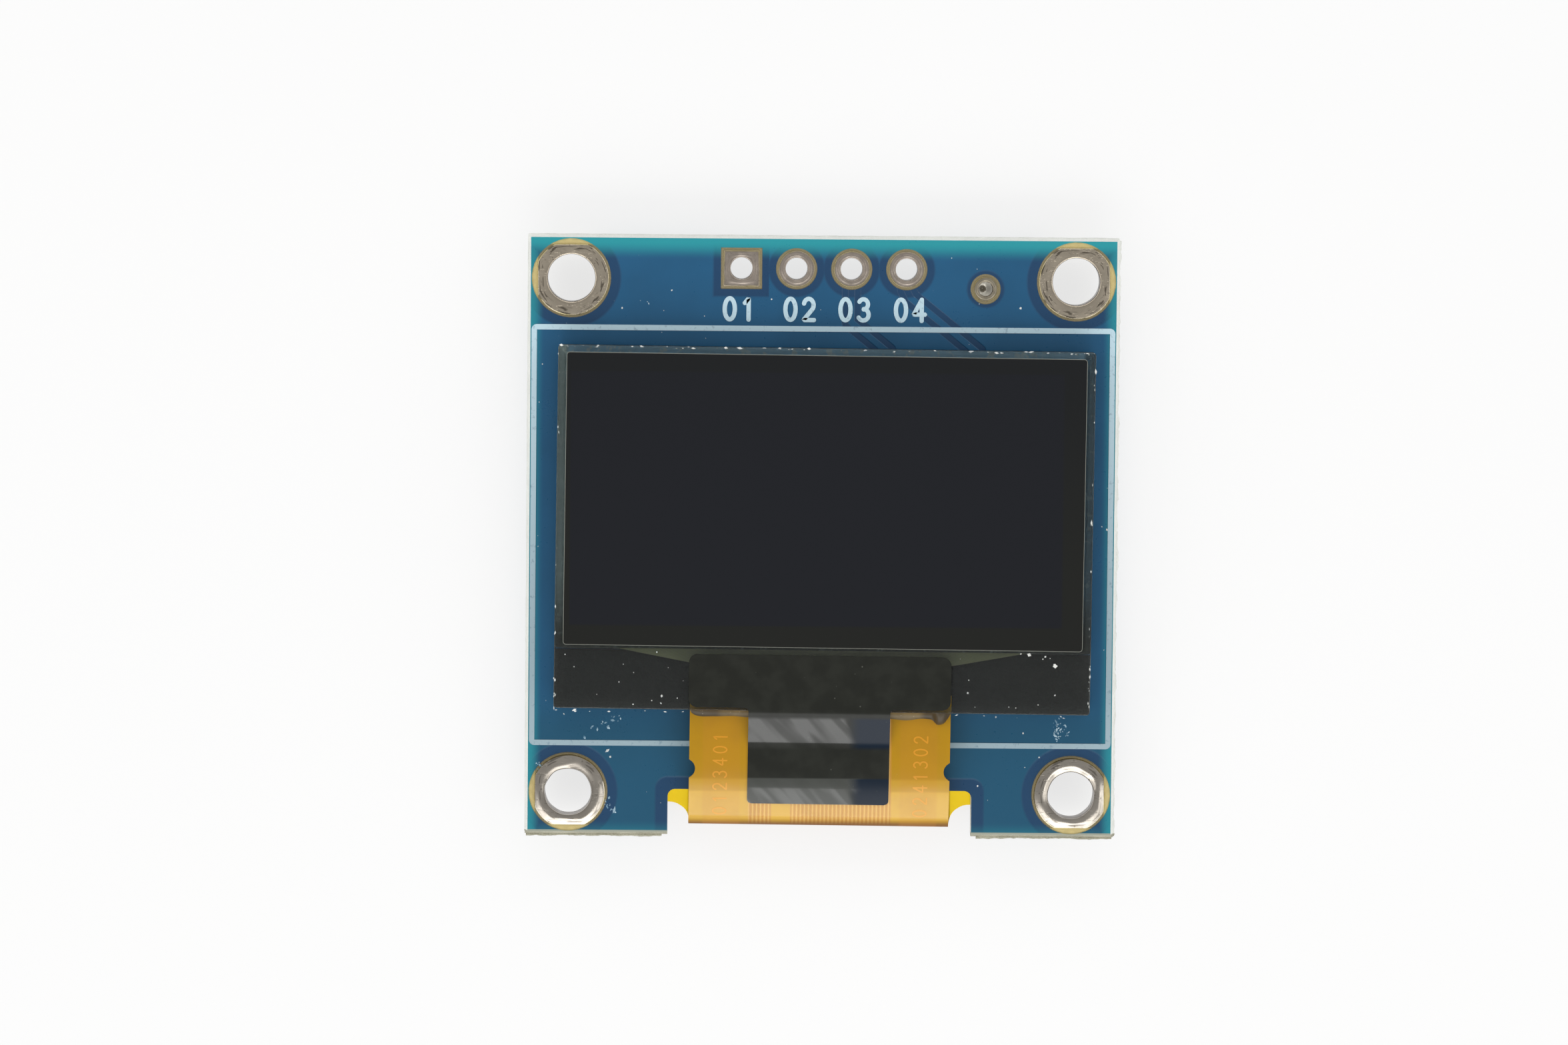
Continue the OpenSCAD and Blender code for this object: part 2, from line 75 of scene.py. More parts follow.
# Places on the module, in mm, that the boxes of the CAD nodes don't give
HOLE_X, HOLE_Y = 11.65, 11.9
HEADER_X, HEADER_Y, PAD_PITCH = (-3.81, -1.27, 1.27, 3.81), 12.4, 2.54
TEST_X, TEST_Y = 7.46, 11.53
RING_R, HOLE_R, PLATING = 1.72, 1.1, 0.05
RING_LIMIT = (13.2, 13.45)
NOTCH_X, NOTCH_Y = 7.04, -11.75
MARK_Y, MARK_R, MARK_DEPTH = -10.76, 0.46, 0.28
SHOULDER_Y, SHOULDER_X, SHOULDER_R = -12.5, 7.44, 0.95
WIDE_Y = -9.73
STRAP_X = 6.025
JOINTS, JOINT_PITCH, JOINT_W = 30, 0.62, 0.34
DISPLAY_TURN, DISPLAY_PIVOT = math.radians(-0.4), (0.1, 0.33)
GROUND_BACK = 0.15
TRACES = {
    "front": [((1.27, 11.5), (1.27, 9.95)), ((1.27, 9.95), (2.95, 8.6)), ((3.81, 11.5), (4.0, 11.1)),
              ((4.0, 11.1), (7.1, 8.6))],
    "back": [((3.81, 11.2), (3.81, 8.2)), ((1.27, 11.2), (1.27, 4.4)), ((1.27, 4.4), (-1.2, 2.0)),
             ((-1.2, 2.0), (-1.2, -1.0)), ((3.81, 8.2), (4.6, 7.5)), ((-3.81, 11.2), (-5.2, 8.4)),
             ((-1.27, 11.2), (6.6, 9.2))],
}
FLEX_THICK, CONDUCTOR_PITCH = 0.1, 0.185
FLAT_STATIONS, SWEEP_STATIONS = 14, 70
BAR_DEPTH, BAR_CORNER, STEM_X, STEM_CORNER, FOOT_RUN = 2.45, 0.4, 3.27, 0.2, 0.4


def span(node):
    """Lowest and highest corner of a CAD node, in mm."""
    low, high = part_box(node)
    return np.array(low) / MM, np.array(high) / MM


def paint(red, green, blue):
    """A screen colour of 0 to 255 as the linear colour that shaders take."""
    c = np.array([red, green, blue]) / 255
    c = np.where(c <= 0.04045, c / 12.92, ((c + 0.055) / 1.055) ** 2.4)
    return (*c.tolist(), 1.0)


# ---------------------------------------------------------------- settings

def colour(name, description, value):
    return FloatVectorProperty(name=name, description=description, subtype="COLOR", size=4,
                               min=0, max=1, default=paint(*value))


def length(name, description, value, low, high):
    return FloatProperty(name=name, description=description, unit="LENGTH", subtype="DISTANCE",
                         min=low * MM, max=high * MM, default=value * MM)


class DisplayModuleSizes(bpy.types.PropertyGroup):
    """Sizes that a user may change; lengths are in scene units."""
    fold_radius: length("Fold radius", "Outer radius of the flex's tight lower bend", 0.75, 0.6, 0.9)
    sweep_angle: FloatProperty(name="Sweep angle", description="Slope of the flex where the fold begins",
                               subtype="ANGLE", default=math.radians(20), min=0.2, max=0.5)
    flat_run: length("Flat run", "Length of flex that runs flat beyond the glass", 1.0, 0.7, 1.3)
    glass_edge: length("Glass edge", "Radius left on the ground edges of the glass", 0.06, 0.01, 0.1)
    solder_dome: length("Solder dome", "Height of the tin left on the mounting rings", 0.05, 0.0, 0.15)
    web_roughness: length("Snapped edge", "Reach of the torn fibres on the snapped edges", 0.09, 0.0, 0.2)
    drop_size: length("Resin drop", "Reach of the drop at the right end of the resin", 0.62, 0.4, 0.8)
    label_height: length("Label height", "Height of the printed pin numbers", 0.98, 0.6, 1.2)
    dust_count: IntProperty(name="Dust", description="Number of loose specks on the display and board",
                            default=150, min=0, max=600)


class DisplayModuleColours(bpy.types.PropertyGroup):
    """Colours that a user may change."""
    mask: colour("Mask", "Solder mask over copper", (30, 84, 120))
    clearance: colour("Clearance", "Solder mask where the copper is cleared", (30, 62, 96))
    # The border's teal is partly the mask over bare laminate and partly painted light coming through the
    # laminate
    border: colour("Border", "Solder mask over bare laminate at the board's edge", (42, 150, 160))
    ink: colour("Ink", "Silkscreen print", (172, 196, 206))
    laminate: colour("Laminate", "Glass-epoxy face", (206, 187, 126))
    fibre: colour("Fibre", "Cut and snapped edges of the laminate", (238, 240, 234))
    tin: colour("Tin", "Tinned pads and rings", (226, 213, 192))
    rim: colour("Rim", "Thin tin over copper at a pad's rim", (214, 200, 152))
    flex: colour("Flex", "Polyimide film over the board", (178, 132, 2))
    flex_light: colour("Flex, light", "Polyimide film where light comes through", (212, 166, 42))
    # The ear's bright yellow is partly the bare film's own colour and partly painted light coming through it
    # from behind; the flex finish also gives it a painted glow
    ear: colour("Ear", "Bare polyimide film in the notch", (240, 206, 22))
    polariser: colour("Polariser", "Polariser over the lit area", (20, 22, 28))
    tape: colour("Tape", "Light-shield tape", (37, 38, 34))
    resin: colour("Resin", "Clear resin along the glass", (116, 98, 62))
    fan_out: colour("Fan-out", "Conductors that spread from the driver chip", (122, 118, 86))


# ---------------------------------------------------------------- surfaces

def facing_out(points, faces):
    """Turns every face round if the volume that they enclose, the sum of a . (b x c) / 6, is negative."""
    quads = np.array([f for f in faces if len(f) == 4])
    volume = 0.0
    if len(quads):
        a, b, c, d = (points[quads[:, k]] for k in range(4))
        volume += np.einsum("ij,ij->", a, np.cross(b, c)) + np.einsum("ij,ij->", a, np.cross(c, d))
    for face in (f for f in faces if len(f) != 4):
        p = points[face]
        volume += np.einsum("ij,ij->", np.repeat(p[:1], len(p) - 2, 0), np.cross(p[1:-1], p[2:]))
    return [f[::-1] for f in faces] if volume < 0 else faces


def tube(rings, endless=False):
    """A closed shell over rings of points: quads from each ring to the next, and a flat face on
    the first and last ring unless the rings come round to the start."""
    rings = rings - 0.0
    n, m = rings.shape[:2]
    centre = rings.reshape(-1, 3).mean(0)
    i, j = np.mgrid[0:n if endless else n - 1, 0:m]
    this, following = i * m, ((i + 1) % n) * m
    side = (j + 1) % m
    faces = np.stack([this + j, this + side, following + side, following + j], -1).reshape(-1, 4).tolist()
    if not endless:
        faces += [list(range(m))[::-1], list(range((n - 1) * m, n * m))]
    points = rings.reshape(-1, 3)
    return points, facing_out(points - centre, faces)


def joined(shells):
    """Several shells as one set of points and faces."""
    counts = np.cumsum([0] + [len(points) for points, faces in shells])
    faces = [[int(k + start) for k in face] for (points, fs), start in zip(shells, counts) for face in fs]
    return np.concatenate([points for points, fs in shells]), faces


def add_piece(name, shells, finishes, stands_for=(), uv=None, sharp=35.0):
    """A piece from shells in mm. Each shell takes the finish with its number; the piece rides on the
    board and stands for the named CAD nodes."""
    numbers = [number for points, faces, number in shells for face in faces]
    points, faces = joined([(points, faces) for points, faces, number in shells])
    mesh = bpy.data.meshes.new(name)
    mesh.from_pydata((points * MM).tolist(), [], faces)
    for finish in finishes:
        mesh.materials.append(finish)
    mesh.polygons.foreach_set("material_index", numbers)
    if uv is not None:
        corners = np.zeros(len(mesh.loops), int)
        mesh.loops.foreach_get("vertex_index", corners)
        mesh.uv_layers.new(name="Film").data.foreach_set("uv", uv[corners].ravel())
    mesh.shade_smooth()
    mesh.set_sharp_from_angle(angle=math.radians(sharp))
    mesh.update()
    piece = bpy.data.objects.new(name, mesh)
    bpy.context.scene.collection.objects.link(piece)
    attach(piece, BODY)
    if stands_for:
        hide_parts(*stands_for)


def askew(points, share=1.0):
    """The display isn't glued quite square: points turned by DISPLAY_TURN about DISPLAY_PIVOT."""
    turned = points - 0.0
    x, y = points[..., 0] - DISPLAY_PIVOT[0], points[..., 1] - DISPLAY_PIVOT[1]
    turned[..., 0] -= y * math.tan(DISPLAY_TURN) * share
    turned[..., 1] += x * math.tan(DISPLAY_TURN) * share
    return turned


def glued(shell):
    """A shell of the display, turned as it is glued, with the number of its only finish."""
    points, faces = shell
    return askew(points), faces, 0


def normals(path):
    """Normals of a flat path: its unit tangent (a, b) at each point, turned to (b, -a)."""
    tangent = np.gradient(path, axis=0)
    tangent /= np.linalg.norm(tangent, axis=1)[:, None]
    return np.column_stack([tangent[:, 1], -tangent[:, 0]])


def chance_sizes(rng, middle, spread, count):
    """Sizes spread about a middle one: e to the power of a normal draw about its logarithm."""
    return np.exp(rng.normal(math.log(middle), spread, (count, 1)))


def wavy(t, seed):
    """Smooth waviness from about -1 to 1 that closes on itself round a ring: the sum of
    cos(k t + chance phase) / sqrt(k) for k from 2 to 9, over 3."""
    phase = np.random.default_rng(seed).uniform(0, 2 * np.pi, 8)
    return sum(np.cos(k * t + p) / math.sqrt(k) for k, p in zip(range(2, 10), phase)) / 3


def ripple(s, pitch, seed):
    """Smooth chance waviness from -1 to 1 along s: random values at each pitch, joined by cosines."""
    values = np.random.default_rng(seed).uniform(-1, 1, 4096)
    cell = np.floor(s / pitch).astype(int) % 4095
    share = (1 - np.cos(np.pi * (s / pitch - np.floor(s / pitch)))) / 2
    return values[cell] * (1 - share) + values[cell + 1] * share


def rounded_outline(low, high, radius, turns=5):
    """A rectangle whose corners are quarter circles: corner centre + radius (cos t, sin t)."""
    t = np.linspace(0, np.pi / 2, turns + 1)
    quarter = np.concatenate([t + k * np.pi / 2 for k in range(4)])
    corner = np.repeat(np.array([[1, 1], [-1, 1], [-1, -1], [1, -1]]), turns + 1, 0)
    centre, half = (high + low) / 2, (high - low) / 2
    return centre + corner * (half - radius) + radius * np.stack([np.cos(quarter), np.sin(quarter)], -1)


def rounded_block(low, high, edge, corner, taper=0.0, steps=3):
    """A block whose outline is inset by edge (1 - cos u) while its height follows edge sin u, so every
    edge is a quarter round. A taper draws the sides in towards the top and bottom."""
    low, high = np.array(low, float), np.array(high, float)
    u = np.linspace(-np.pi / 2, 0, steps + 1)
    inset = np.concatenate([edge * (1 - np.cos(u)), [0.0], edge * (1 - np.cos(-u[::-1]))])
    z = np.concatenate([low[2] + edge + edge * np.sin(u), [(low[2] + high[2]) / 2],
                        high[2] - edge + edge * np.sin(-u[::-1])])
    inset = inset + taper * abs(z - (low[2] + high[2]) / 2) / ((high[2] - low[2]) / 2)
    rings = [np.column_stack([rounded_outline(low[:2] + d, high[:2] - d, max(corner - d, 0.15 * corner)),
                              np.full(24, h)]) for d, h in zip(inset, z)]
    return tube(np.array(rings))


def carried_strip(path, normal, left, right, outer, inner, columns):
    """A film carried along a path in the plane x = 0: at each station it runs from left to right in x,
    its faces lie the distances outer and inner from the path along the normal, and its side edges
    close it. The second result is its map: x across and length along the path."""
    n = len(path)
    share = np.linspace(0, 1, columns)
    x = left[:, None] + (right - left)[:, None] * share
    face = path[:, None, :] + normal[:, None, :] * np.array([outer, inner])[None, :, None]
    rings = np.zeros((n, 2 * columns, 3))
    rings[:, :columns, 0], rings[:, columns:, 0] = x, x[:, ::-1]
    rings[:, :columns, 1:] = face[:, :1]
    rings[:, columns:, 1:] = face[:, 1:]
    s = np.concatenate([[0], np.cumsum(np.linalg.norm(np.diff(path, axis=0), axis=1))])
    film = np.stack([rings[:, :, 0], np.repeat(s[:, None], 2 * columns, 1)], -1)
    return tube(rings), film.reshape(-1, 2)


def arc(centre_y, centre_z, r, start, stop, count):
    """Points centre + r (-sin a, cos a), with a from start to stop, and their outward normals."""
    a = np.linspace(start, stop, count)
    normal = np.stack([-np.sin(a), np.cos(a)], -1)
    return np.array([centre_y, centre_z]) + r * normal, normal


def ring_shell(centre, reach, hole, top, bottom, height, ragged=None, turns=96):
    """A plated hole as a closed ring. At angle t a point a share f of the way from the hole to the rim
    stands at hole + f (reach(t) - hole), less ragged(t) (1 - f)^2 where a lip is given, and the tin on it
    is height(t, f) thick. The barrel joins both faces. The map is the angle and the share f."""
    t = np.linspace(0, 2 * np.pi, turns, endpoint=False)[:, None]
    f = np.array([1, 1, 0.985] + np.linspace(0.95, 0.05, 14).tolist() + [0.0])[None, :]
    flat = np.array([0, 0.75, 0.95] + [1.0] * 14 + [0.6])[None, :]
    face = (top[1] - top[0]) * flat + height(t, f) * (f < 0.98) * (f > 0.01)
    barrel = np.linspace(top[0], bottom[0], 7)[None, 1:-1]
    lip = ragged(t) if ragged else 0 * t
    radius = hole + f * (reach(t) - hole) - lip * (1 - f) ** 2
    r = np.concatenate([radius, np.repeat(radius[:, -1:], 5, 1), hole + (f * (reach(t) - hole))[:, ::-1],
                        np.repeat(np.full_like(t, hole + PLATING), 2, 1)], 1)
    z = np.concatenate([top[0] + face, np.repeat(barrel, turns, 0),
                        np.repeat(bottom[0] - ((bottom[0] - bottom[1]) * flat)[:, ::-1], turns, 0),
                        np.full((turns, 1), bottom[0]), np.full((turns, 1), top[0])], 1)
    rings = np.stack([centre[0] + r * np.cos(t), centre[1] + r * np.sin(t), z], -1)
    share = np.concatenate([np.repeat(f, turns, 0), np.zeros((turns, 5)),
                            np.repeat(f[:, ::-1], turns, 0), np.zeros((turns, 2))], 1)
    film = np.stack([np.repeat(t / (2 * np.pi), share.shape[1], 1), share], -1)
    return tube(rings, endless=True), film.reshape(-1, 2)


def half_round(length_shape, width, start, direction, rise, base, across=9):
    """A bead of solder along direction from start: at each station its section is the half ellipse
    (width cos v, rise sin v) standing on the height base, which closes it underneath."""
    v = np.linspace(0, np.pi, across)
    direction = np.array(direction, float)
    side = np.array([-direction[1], direction[0]])
    along = np.array(start)[None, None, :] + length_shape[:, None, None] * direction
    flat = along + (width[:, None] * np.cos(v))[:, :, None] * side
    rings = np.concatenate([flat, (base[:, None] - rise[:, None] * np.sin(v))[:, :, None]], -1)
    return tube(rings)


def flakes(centres, sizes, seed, turn=None):
    """Tiny eight-sided flakes: an octahedron's six corners, stretched, turned about z, at random
    unless the angles are given, and set down at each centre."""
    rng = np.random.default_rng(seed)
    corners = np.array([[1, 0, 0], [-1, 0, 0], [0, 1, 0], [0, -1, 0], [0, 0, 1], [0, 0, -1]], float)
    order = np.array([[0, 2, 4], [2, 1, 4], [1, 3, 4], [3, 0, 4], [2, 0, 5], [1, 2, 5], [3, 1, 5], [0, 3, 5]])
    turn = rng.uniform(0, 2 * np.pi, len(centres)) if turn is None else turn
    shape = corners[None] * (sizes * rng.uniform(0.7, 1.3, (len(centres), 3)))[:, None, :]
    x = shape[..., 0] * np.cos(turn)[:, None] - shape[..., 1] * np.sin(turn)[:, None]
    y = shape[..., 0] * np.sin(turn)[:, None] + shape[..., 1] * np.cos(turn)[:, None]
    points = np.stack([x, y, shape[..., 2]], -1) + centres[:, None, :]
    faces = order[None] + 6 * np.arange(len(centres))[:, None, None]
    return points.reshape(-1, 3), faces.reshape(-1, 3).tolist()


def pen_stroke(line, width, low, high):
    """A printed stroke: a flat pen of the given width carried along a line, its half width falling at
    either end as the square root of width^2 / 4 - d^2, where d is the distance past the line's end.
    A line that comes back to its start stays closed."""
    line = np.array(line, float)
    closed = np.allclose(line[0], line[-1])
    step = np.linalg.norm(np.diff(line, axis=0), axis=1)
    s = np.concatenate([[0], np.cumsum(step)])
    along = np.linspace(0, s[-1], max(12, int(s[-1] / 0.04)))
    path = np.column_stack([np.interp(along, s, line[:, k]) for k in range(2)])
    tangent = np.gradient(path, axis=0)
    if closed:
        path = path[:-1]
        tangent = np.roll(path, -1, 0) - np.roll(path, 1, 0)
    tangent /= np.linalg.norm(tangent, axis=1)[:, None]
    r = width / 2
    half = np.full((len(path), 1), r)
    if not closed:
        d = r * np.sin(np.linspace(0.15, 1, 5) * np.pi / 2)[::-1]
        path = np.concatenate([path[0] - tangent[0] * d[:, None], path,
                               path[-1] + tangent[-1] * d[::-1, None]])
        tangent = np.concatenate([np.repeat(tangent[:1], 5, 0), tangent, np.repeat(tangent[-1:], 5, 0)])
        cap = np.sqrt(np.maximum(r * r - d * d, 1e-5))[:, None]
        half = np.concatenate([cap, half, cap[::-1]])
    side = np.column_stack([-tangent[:, 1], tangent[:, 0]]) * half
    rings = np.stack([np.column_stack([path + side * k, np.full(len(path), z)])
                      for k, z in ((-1, low), (1, low), (1, high), (-1, high))], 1)
    return tube(rings, endless=closed)


def digit(number):
    """The pen lines of a digit in a box one wide and one high, centred on x = 0: straight lines, and
    bows that are parts of ellipses centre + (a cos t, b sin t)."""
    def bow(cx, cy, a, b, start, stop):
        t = np.radians(np.linspace(start, stop, 25))
        return np.column_stack([cx + a * np.cos(t), cy + b * np.sin(t)])
    return {
        0: [bow(0, 0.5, 0.4, 0.5, 0, 360)],
        1: [[(-0.25, 0.78), (0.05, 1.0), (0.05, 0.0)]],
        2: [np.concatenate([bow(0, 0.7, 0.38, 0.3, 165, -35), [(-0.4, 0.0), (0.42, 0.0)]])],
        3: [bow(-0.03, 0.76, 0.36, 0.24, 150, -85), bow(-0.03, 0.27, 0.42, 0.27, 85, -150)],
        4: [[(0.2, 0.0), (0.2, 1.0)], [(0.2, 1.0), (-0.42, 0.3), (0.45, 0.3)]],
    }[number]


# ---------------------------------------------------------------- shader nodes

class Value:
    """A node's output that can be reckoned with: + - * and abs() each add a node to its tree."""

    def __init__(self, nodes, socket):
        self.nodes, self.socket = nodes, socket

    def __add__(self, other):
        return self.nodes.maths("ADD", self, other)

    def __sub__(self, other):
        return self.nodes.maths("SUBTRACT", self, other)

    def __rsub__(self, other):
        return self.nodes.maths("SUBTRACT", other, self)

    def __mul__(self, other):
        return self.nodes.maths("MULTIPLY", self, other)

    def __abs__(self):
        return self.nodes.maths("ABSOLUTE", self)


class Nodes:
    """Short ways to add nodes to a tree and to link them."""

    def __init__(self, tree):
        self.tree = tree

    def feed(self, socket, value):
        """Links a node's output to a socket, or sets the socket's own constant."""
        if isinstance(value, Value):
            self.tree.links.new(value.socket, socket)
        else:
            socket.default_value = value

    def add(self, kind, inputs=None, **settings):
        node = self.tree.nodes.new(kind)
        for key, value in settings.items():
            setattr(node, key, value)
        for key, value in (inputs or {}).items():
            self.feed(node.inputs[key], value)
        return node

    def out(self, key, kind, inputs=None, **settings):
        """Adds a node and gives the output with that name or number."""
        return Value(self, self.add(kind, inputs, **settings).outputs[key])

    def outputs(self, node):
        """A node's outputs by name."""
        return {socket.name: Value(self, socket) for socket in node.outputs}

    def maths(self, operation, *values, clamp=False):
        return self.out(0, "ShaderNodeMath", dict(enumerate(values)), operation=operation, use_clamp=clamp)

    def least(self, *values):
        return functools.reduce(lambda a, b: self.maths("MINIMUM", a, b), values)

    def most(self, *values):
        return functools.reduce(lambda a, b: self.maths("MAXIMUM", a, b), values)

    def vector(self, operation, *values, scale=None, out=0):
        inputs = dict(enumerate(values))
        if scale is not None:
            inputs["Scale"] = scale
        return self.out(out, "ShaderNodeVectorMath", inputs, operation=operation)

    def mix(self, share, a, b):
        return self.out(2, "ShaderNodeMix", {0: share, 6: a, 7: b}, data_type="RGBA")

    def ramp(self, value, low, high, start=0.0, stop=1.0):
        """A smooth step from start at low to stop at high."""
        return self.out(0, "ShaderNodeMapRange", {"Value": value, "From Min": low, "From Max": high,
                                                  "To Min": start, "To Max": stop},
                        interpolation_type="SMOOTHSTEP")

    def millimetres(self):
        """The place on the piece in mm, from its Object coordinates."""
        return self.vector("SCALE", self.out("Object", "ShaderNodeTexCoord"), scale=1 / MM)

    def parts(self, vector):
        return list(self.outputs(self.add("ShaderNodeSeparateXYZ", {0: vector})).values())

    def stretched(self, vector, scale, turn=0.0, kind="POINT"):
        """The vector scaled, and turned about z."""
        return self.out(0, "ShaderNodeMapping", {"Vector": vector, "Rotation": (0, 0, turn), "Scale": scale},
                        vector_type=kind)

    def noise(self, vector, scale, detail=3.0, roughness=0.5):
        return self.out("Fac", "ShaderNodeTexNoise", {"Vector": vector, "Scale": scale, "Detail": detail,
                                                      "Roughness": roughness})

    def cells(self, vector, scale):
        return self.out("Distance", "ShaderNodeTexVoronoi", {"Vector": vector, "Scale": scale})

    def height_of_normal(self):
        """The upward part of the surface's own normal."""
        return self.parts(self.out("True Normal", "ShaderNodeNewGeometry"))[2]

    def segment(self, place, a, b):
        """Distance from a flat place to the straight line from a to b."""
        a, b = np.array([*a, 0.0]), np.array([*b, 0.0])
        run = b - a
        from_a = self.vector("SUBTRACT", place, tuple(a))
        share = self.maths("DIVIDE", self.vector("DOT_PRODUCT", from_a, tuple(run), out=1),
                           float(run @ run), clamp=True)
        return self.vector("DISTANCE", from_a, self.vector("SCALE", tuple(run), scale=share), out=1)

    def group(self, tree, **inputs):
        node = self.add("ShaderNodeGroup", node_tree=tree)
        for key, value in inputs.items():
            self.feed(node.inputs[key.capitalize()], value)
        return self.outputs(node)


class Finish(Nodes):
    """A material and its shader; constants are set on the shader's own sockets."""

    def __init__(self, name, **sockets):
        self.material = bpy.data.materials.new("module_" + name)
        self.material.use_nodes = True
        super().__init__(self.material.node_tree)
        self.shader = self.tree.nodes["Principled BSDF"]
        for key, value in sockets.items():
            self.set(key.replace("_", " "), value)

    def set(self, key, value):
        self.feed(self.shader.inputs[key], value)

    def bump(self, height, micrometres, strength=1.0):
        self.set("Normal", self.out(0, "ShaderNodeBump", {"Height": height, "Distance": micrometres * 1e-6,
                                                          "Strength": strength}))
        return self.material


def effect(name, inputs, outputs, build):
    """A node group with named inputs and outputs, made once and then shared."""
    if name in bpy.data.node_groups:
        return bpy.data.node_groups[name]
    tree = bpy.data.node_groups.new(name, "ShaderNodeTree")
    for label, value in inputs.items():
        tree.interface.new_socket(label, in_out="INPUT", socket_type="NodeSocketFloat").default_value = value
    for label in outputs:
        tree.interface.new_socket(label, in_out="OUTPUT", socket_type="NodeSocketFloat")
    nodes = Nodes(tree)
    given = nodes.outputs(nodes.add("NodeGroupInput"))
    sink = nodes.add("NodeGroupOutput")
    for label, value in build(nodes, given).items():
        nodes.feed(sink.inputs[label], value)
    return tree


def fine_dust():
    """Sparse settled specks: the small cores of cells, kept only where two slower noises are high."""
    def build(n, given):
        place = n.millimetres()
        core = n.ramp(n.cells(place, given["Scale"]), given["Size"], 0.0)
        patch = n.ramp(n.noise(place, 0.35, 2.0), 0.42, 0.7)
        chance = n.ramp(n.noise(place, 2.7, 1.0), 0.5, 0.66)
        return {"Mask": n.maths("MULTIPLY", core * chance * patch, given["Amount"], clamp=True)}
    return effect("Fine dust", {"Amount": 0.5, "Scale": 3.0, "Size": 0.12}, ["Mask"], build)


def grain():
    """Even fine grain with a slower cloud over it, as value and height."""
    def build(n, given):
        place = n.millimetres()
        fine = n.noise(place, given["Scale"], 3.0, 0.6)
        cloud = n.noise(place, given["Scale"] * 0.08, 2.0)
        return {"Value": n.ramp(fine * 0.6 + cloud * 0.4, 0.3, 0.7), "Height": fine}
    return effect("Grain", {"Scale": 8.0}, ["Value", "Height"], build)


def worn_tin():
    """Hot-levelled tin: slow dull patches, short slanting scratches and small pits."""
    def build(n, given):
        place, scale = n.millimetres(), given["Scale"]
        cloud = n.noise(place, scale * 0.8, 3.0, 0.6)
        hair = n.noise(n.stretched(place, (1.2, 9.0, 1.0), 0.7), scale, 2.0, 0.7)
        pit = n.ramp(n.cells(place, scale * 2.2), 0.18, 0.05)
        dull = n.most(n.ramp(hair, 0.6, 0.7) * given["Scratches"], pit * 0.6)
        return {"Dull": dull, "Cloud": n.ramp(cloud, 0.35, 0.65), "Height": cloud - dull * 0.5}
    return effect("Worn tin", {"Scale": 2.2, "Scratches": 0.6}, ["Dull", "Cloud", "Height"], build)


def copper_pour():
    """Where the copper lies under the mask, from distances to the board's features in mm. The board is
    alike in both halves, so |x| and |y| serve all four mounting holes, and ||x| - 2.54| - 1.27 all four
    header pads."""
    def build(n, given):
        x, y, z = n.parts(n.millimetres())
        ax, ay = abs(x), abs(y)

        def away(dx, dy):
            return n.maths("SQRT", dx * dx + dy * dy)

        hole = away(ax - HOLE_X, ay - HOLE_Y) - 2.28
        across, down = abs(ax - PAD_PITCH) - PAD_PITCH / 2, y - HEADER_Y
        pad = n.out(0, "ShaderNodeMix", {0: n.maths("LESS_THAN", x, -PAD_PITCH), 2: away(across, down),
                                         3: n.most(abs(across), abs(down))}) - 1.3
        test = away(x - TEST_X, y - TEST_Y) - 0.86
        notch = away(n.most(ax - NOTCH_X, 0.0), n.most(y - NOTCH_Y, 0.0)) - 0.57
        clear = n.ramp(n.least(hole, pad, test, notch), 0.07, -0.07)
        # Painted light: the border share is full along the top edge, 0.7 down the sides and 0.25 along the
        # bottom, as the light through the laminate falls
        border = n.most(n.ramp(13.17 - ax, 0.3, -0.3, 0.0, 0.7), n.ramp(y + 13.4, 0.2, -0.4, 0.0, 0.25),
                        n.ramp(13.12 - y, 0.35, -0.5))
        return {"Clear": clear, "Border": border, "Height": 1.0 - n.most(clear, border)}
    return effect("Copper pour", {}, ["Clear", "Border", "Height"], build)


# ---------------------------------------------------------------- finishes

def scaled(colour_value, share):
    """A colour made darker or lighter by a share, opaque."""
    return (*[c * share for c in colour_value[:3]], 1)


def laminate_finish(colours):
    """Glass-epoxy laminate: a plain weave beyond the copper's limits, a duller face inside them, and
    pale broken fibres on the cut edges, which are greyer along the bottom and darker at its foot."""
    n = Finish("laminate", Roughness=0.55)
    x, y, z = n.parts(n.millimetres())
    ax, ay = abs(x), abs(y)
    weave = n.maths("SINE", x * 13.0) * n.maths("SINE", y * 13.0)
    fine = n.group(grain(), scale=14.0)
    edge = n.most(n.ramp(ax, 13.46, 13.5), n.ramp(ay, 13.71, 13.75), n.ramp(abs(z - 0.6), 0.598, 0.56))
    bottom = n.mix(n.ramp(z, 1.12, 1.19), n.mix(fine["Value"], paint(124, 121, 98), paint(174, 171, 150)),
                   n.mix(fine["Value"], paint(168, 170, 155), paint(208, 208, 196)))
    torn = n.mix(fine["Value"], scaled(colours.fibre, 0.86), colours.fibre)
    torn = n.mix(n.ramp(y, -13.7, -13.76), torn, bottom)
    woven = n.mix(n.maths("MULTIPLY_ADD", weave, 0.18, 0.3, clamp=True), colours.laminate,
                  scaled(colours.laminate, 0.72))
    beyond = n.most(n.ramp(ax, 13.17, 13.21), n.ramp(ay, 13.42, 13.46))
    face = n.mix(beyond, paint(146, 134, 100), woven)
    n.set("Base Color", n.mix(edge, face, torn))
    return n.bump(fine["Height"] + weave * 0.3, 18)


